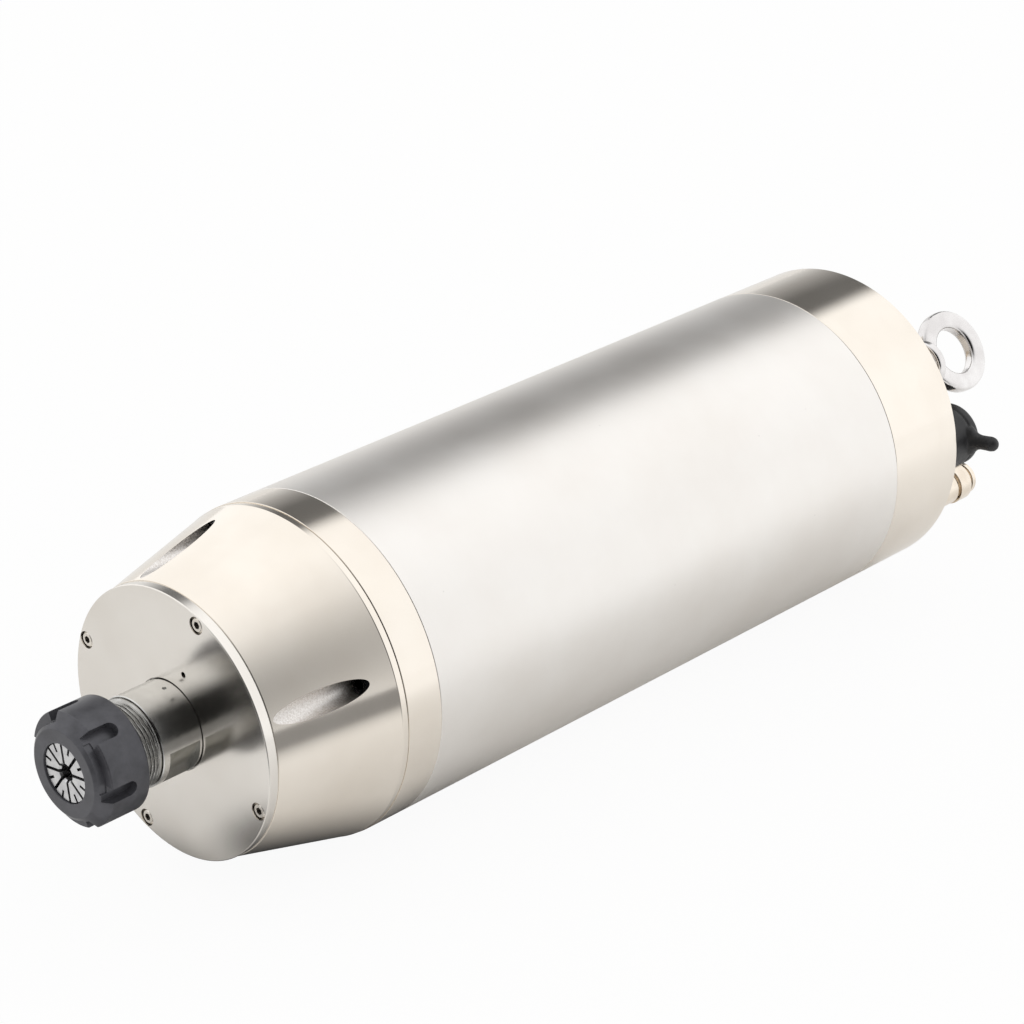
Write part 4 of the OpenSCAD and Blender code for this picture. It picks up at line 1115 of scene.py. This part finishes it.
tab_sections = [
    (11.8, 6.4, 3.6), (13.0, 5.9, 3.3), (14.2, 4.6, 3.0), (15.6, 3.5, 2.8), (17.4, 3.0, 2.7),
    (20.4, 3.0, 2.75), (22.4, 3.1, 2.85), (24.0, 2.75, 2.5), (25.0, 1.9, 1.75), (25.5, 0.9, 0.8)]
tab_angles = [math.tau * j / TAB_SIDES for j in range(TAB_SIDES)]
skin_over(dust_cap, [
    [tab_middle + tab_out * (reach * MM) + tab_side * (half_side * math.cos(a) * MM)
     + Vector((0, half_deep * math.sin(a) * MM, 0)) for a in tab_angles]
    for reach, half_side, half_deep in tab_sections], closed=False)
run_together(dust_cap, voxel_mm=0.38, passes=4)
shade_smooth(dust_cap)
# Moulded rubber: near black, soft sheen, slight dust in the grain
rubber, tree = blank_material("moulded_black_rubber")
place = put(tree, "ShaderNodeTexCoord")
dust = put(tree, "ShaderNodeTexNoise",
           {"Vector": place.outputs["Object"], "Scale": 220.0, "Detail": 6.0, "Roughness": 0.65})
skin = put(tree, "ShaderNodeTexNoise",
           {"Vector": place.outputs["Object"], "Scale": 2200.0, "Detail": 3.0})
tone = put(tree, "ShaderNodeMix",
           {0: dust.outputs["Fac"], 6: linear("#1B1B1C"), 7: linear("#2B2B2D")}, data_type="RGBA")
gloss = put(tree, "ShaderNodeMapRange",
            {"Value": dust.outputs["Fac"], "From Min": 0.3, "From Max": 0.7,
             "To Min": 0.42, "To Max": 0.6})
relief = put(tree, "ShaderNodeBump",
             {"Height": skin.outputs["Fac"], "Strength": 0.3, "Distance": 0.00005})
shader = put(tree, "ShaderNodeBsdfPrincipled",
             {"Base Color": tone.outputs[2], "Roughness": gloss.outputs[0], "Normal": relief.outputs[0]})
put(tree, "ShaderNodeOutputMaterial", {"Surface": shader.outputs[0]})
dress(dust_cap, rubber, "dust_cap", "rubber", "dust_cap")

# Water fittings: nickel plated push-in fittings, hexagon below and a turned
# barrel above, with a loose release ring in the mouth of each.

fitting_end_s = ends("release_ring_a")[1]
FITTING_R = 7.25
FITTING_COLLAR_R = 7.85
HEXAGON_HALF_W = 7.0
HOSE_R = 4.05
for letter, clock_angle, node in (("a", FITTING_CLOCK, "water_fitting_a"),
                                  ("b", FITTING_CLOCK + 180, "water_fitting_b")):
    x, z = at(clock_angle, FITTING_OFFSET)
    barrel = turned("fitting_barrel_" + letter, [
        (2.5, rear_s - 7), (4.6, rear_s - 7), (4.82, rear_s - 6.7), (4.82, rear_s + 0.02),
        (7.6, rear_s + 0.02), (8.0, rear_s + 0.5), (8.0, rear_s + 7.5), (7.2, rear_s + 8),
        (6.2, rear_s + 8), (6.2, rear_s + 9.5),
        (FITTING_R, rear_s + 10.2), (FITTING_R, rear_s + 19.2), (6.1, rear_s + 19.2),
        (6.1, rear_s + 20.6), (FITTING_COLLAR_R, rear_s + 20.6),
        (FITTING_COLLAR_R, fitting_end_s - 4.9), (7.2, fitting_end_s - 4.1), (5.6, fitting_end_s - 4.1),
        (5.6, fitting_end_s - 12), (HOSE_R, fitting_end_s - 12), (HOSE_R, rear_s + 9),
        (2.5, rear_s + 9)], ease=0.12, centre=(x, z), steps=96)
    for k in range(6):
        side = block("hexagon_side", HEXAGON_HALF_W, 12, 10, rear_s - 0.5, rear_s + 8.4)
        side.data.transform(Matrix.Translation((x * MM, 0, z * MM))
                            @ Matrix.Rotation(math.radians(60 * k - clock_angle), 4, "Y"))
        cut(barrel, side)
    smooth_turned(barrel, (x, z), 96)
    dress(barrel, nickel_plate, "housing", "nickel", node)
    release = turned("release_collar_" + letter, [
        (4.4, fitting_end_s - 10), (5.3, fitting_end_s - 10), (5.3, fitting_end_s - 2.5),
        (6.7, fitting_end_s - 2.5), (6.7, fitting_end_s - 0.5), (6.2, fitting_end_s),
        (4.9, fitting_end_s), (4.4, fitting_end_s - 0.5)], ease=0.15, centre=(x, z), steps=96)
    smooth_turned(release, (x, z), 96)
    dress(release, nickel_plate, "release_" + letter, "nickel", "release_ring_" + letter)

# Inner pieces: bearings, motor, water jacket and leads keep their CAD meshes.
# Each takes the finish of what the real piece is made of.

# Bearing steel is ground and lapped bright, the alloys and brass are cast or turned
# and less bright, the laminations show their dark edges, and the coils their varnish.
ball_steel, race_steel, lamination, cage_alloy, turned_alloy, jacket_brass, enamelled_copper = [
    worked_steel(name, light, dark, rough, lay, lay_mm, depth, cloud_mm)
    for name, light, dark, rough, lay, lay_mm, depth, cloud_mm in (
        ("lapped_ball_steel", "#DEDEDF", "#D2D2D4", (0.05, 0.09), None, 1.5, 0.05, 4),
        ("ground_race_steel", "#CFCFCE", "#BEBEBE", (0.12, 0.2), "round", 0.4, 0.15, 8),
        ("stacked_lamination_steel", "#77777A", "#5D5D61", (0.38, 0.52), "round", 0.5, 0.9, 10),
        ("cast_rotor_alloy", "#C9CACC", "#B6B7BA", (0.3, 0.42), None, 1.2, 0.5, 6),
        ("turned_alloy", "#D4D5D7", "#C7C8CB", (0.22, 0.32), "round", 0.5, 0.3, 15),
        ("turned_brass", "#C9A45C", "#B58E49", (0.2, 0.32), "round", 0.5, 0.3, 12),
        ("varnished_copper_coils", "#B5652E", "#8E4A20", (0.25, 0.4), None, 0.9, 0.9, 5))]
lead_rubber = rubber.copy()
lead_rubber.name = "silicone_lead_sleeve"
cage_resin = insert_plastic.copy()
cage_resin.name = "moulded_cage_resin"
finish_of_slot = {
    "ball_steel": ball_steel, "ground_steel": race_steel, "turned_steel": race_steel,
    "polished_steel": race_steel, "laminations": lamination, "rotor_alloy": cage_alloy,
    "alloy": turned_alloy, "brass": jacket_brass, "copper": enamelled_copper, "rubber": rubber,
    "lead_sleeve": lead_rubber, "cage_resin": cage_resin, "nickel": nickel_plate,
    "black_oxide": black_oxide, "collet_steel": collet_steel}
for part in frame["record"]["subparts"]:
    node = frame["nodes"][part["node"]]
    if node.hide_render:
        continue
    node.data.materials.clear()
    node.data.materials.append(finish_of_slot.get(part["material_slot"], race_steel))
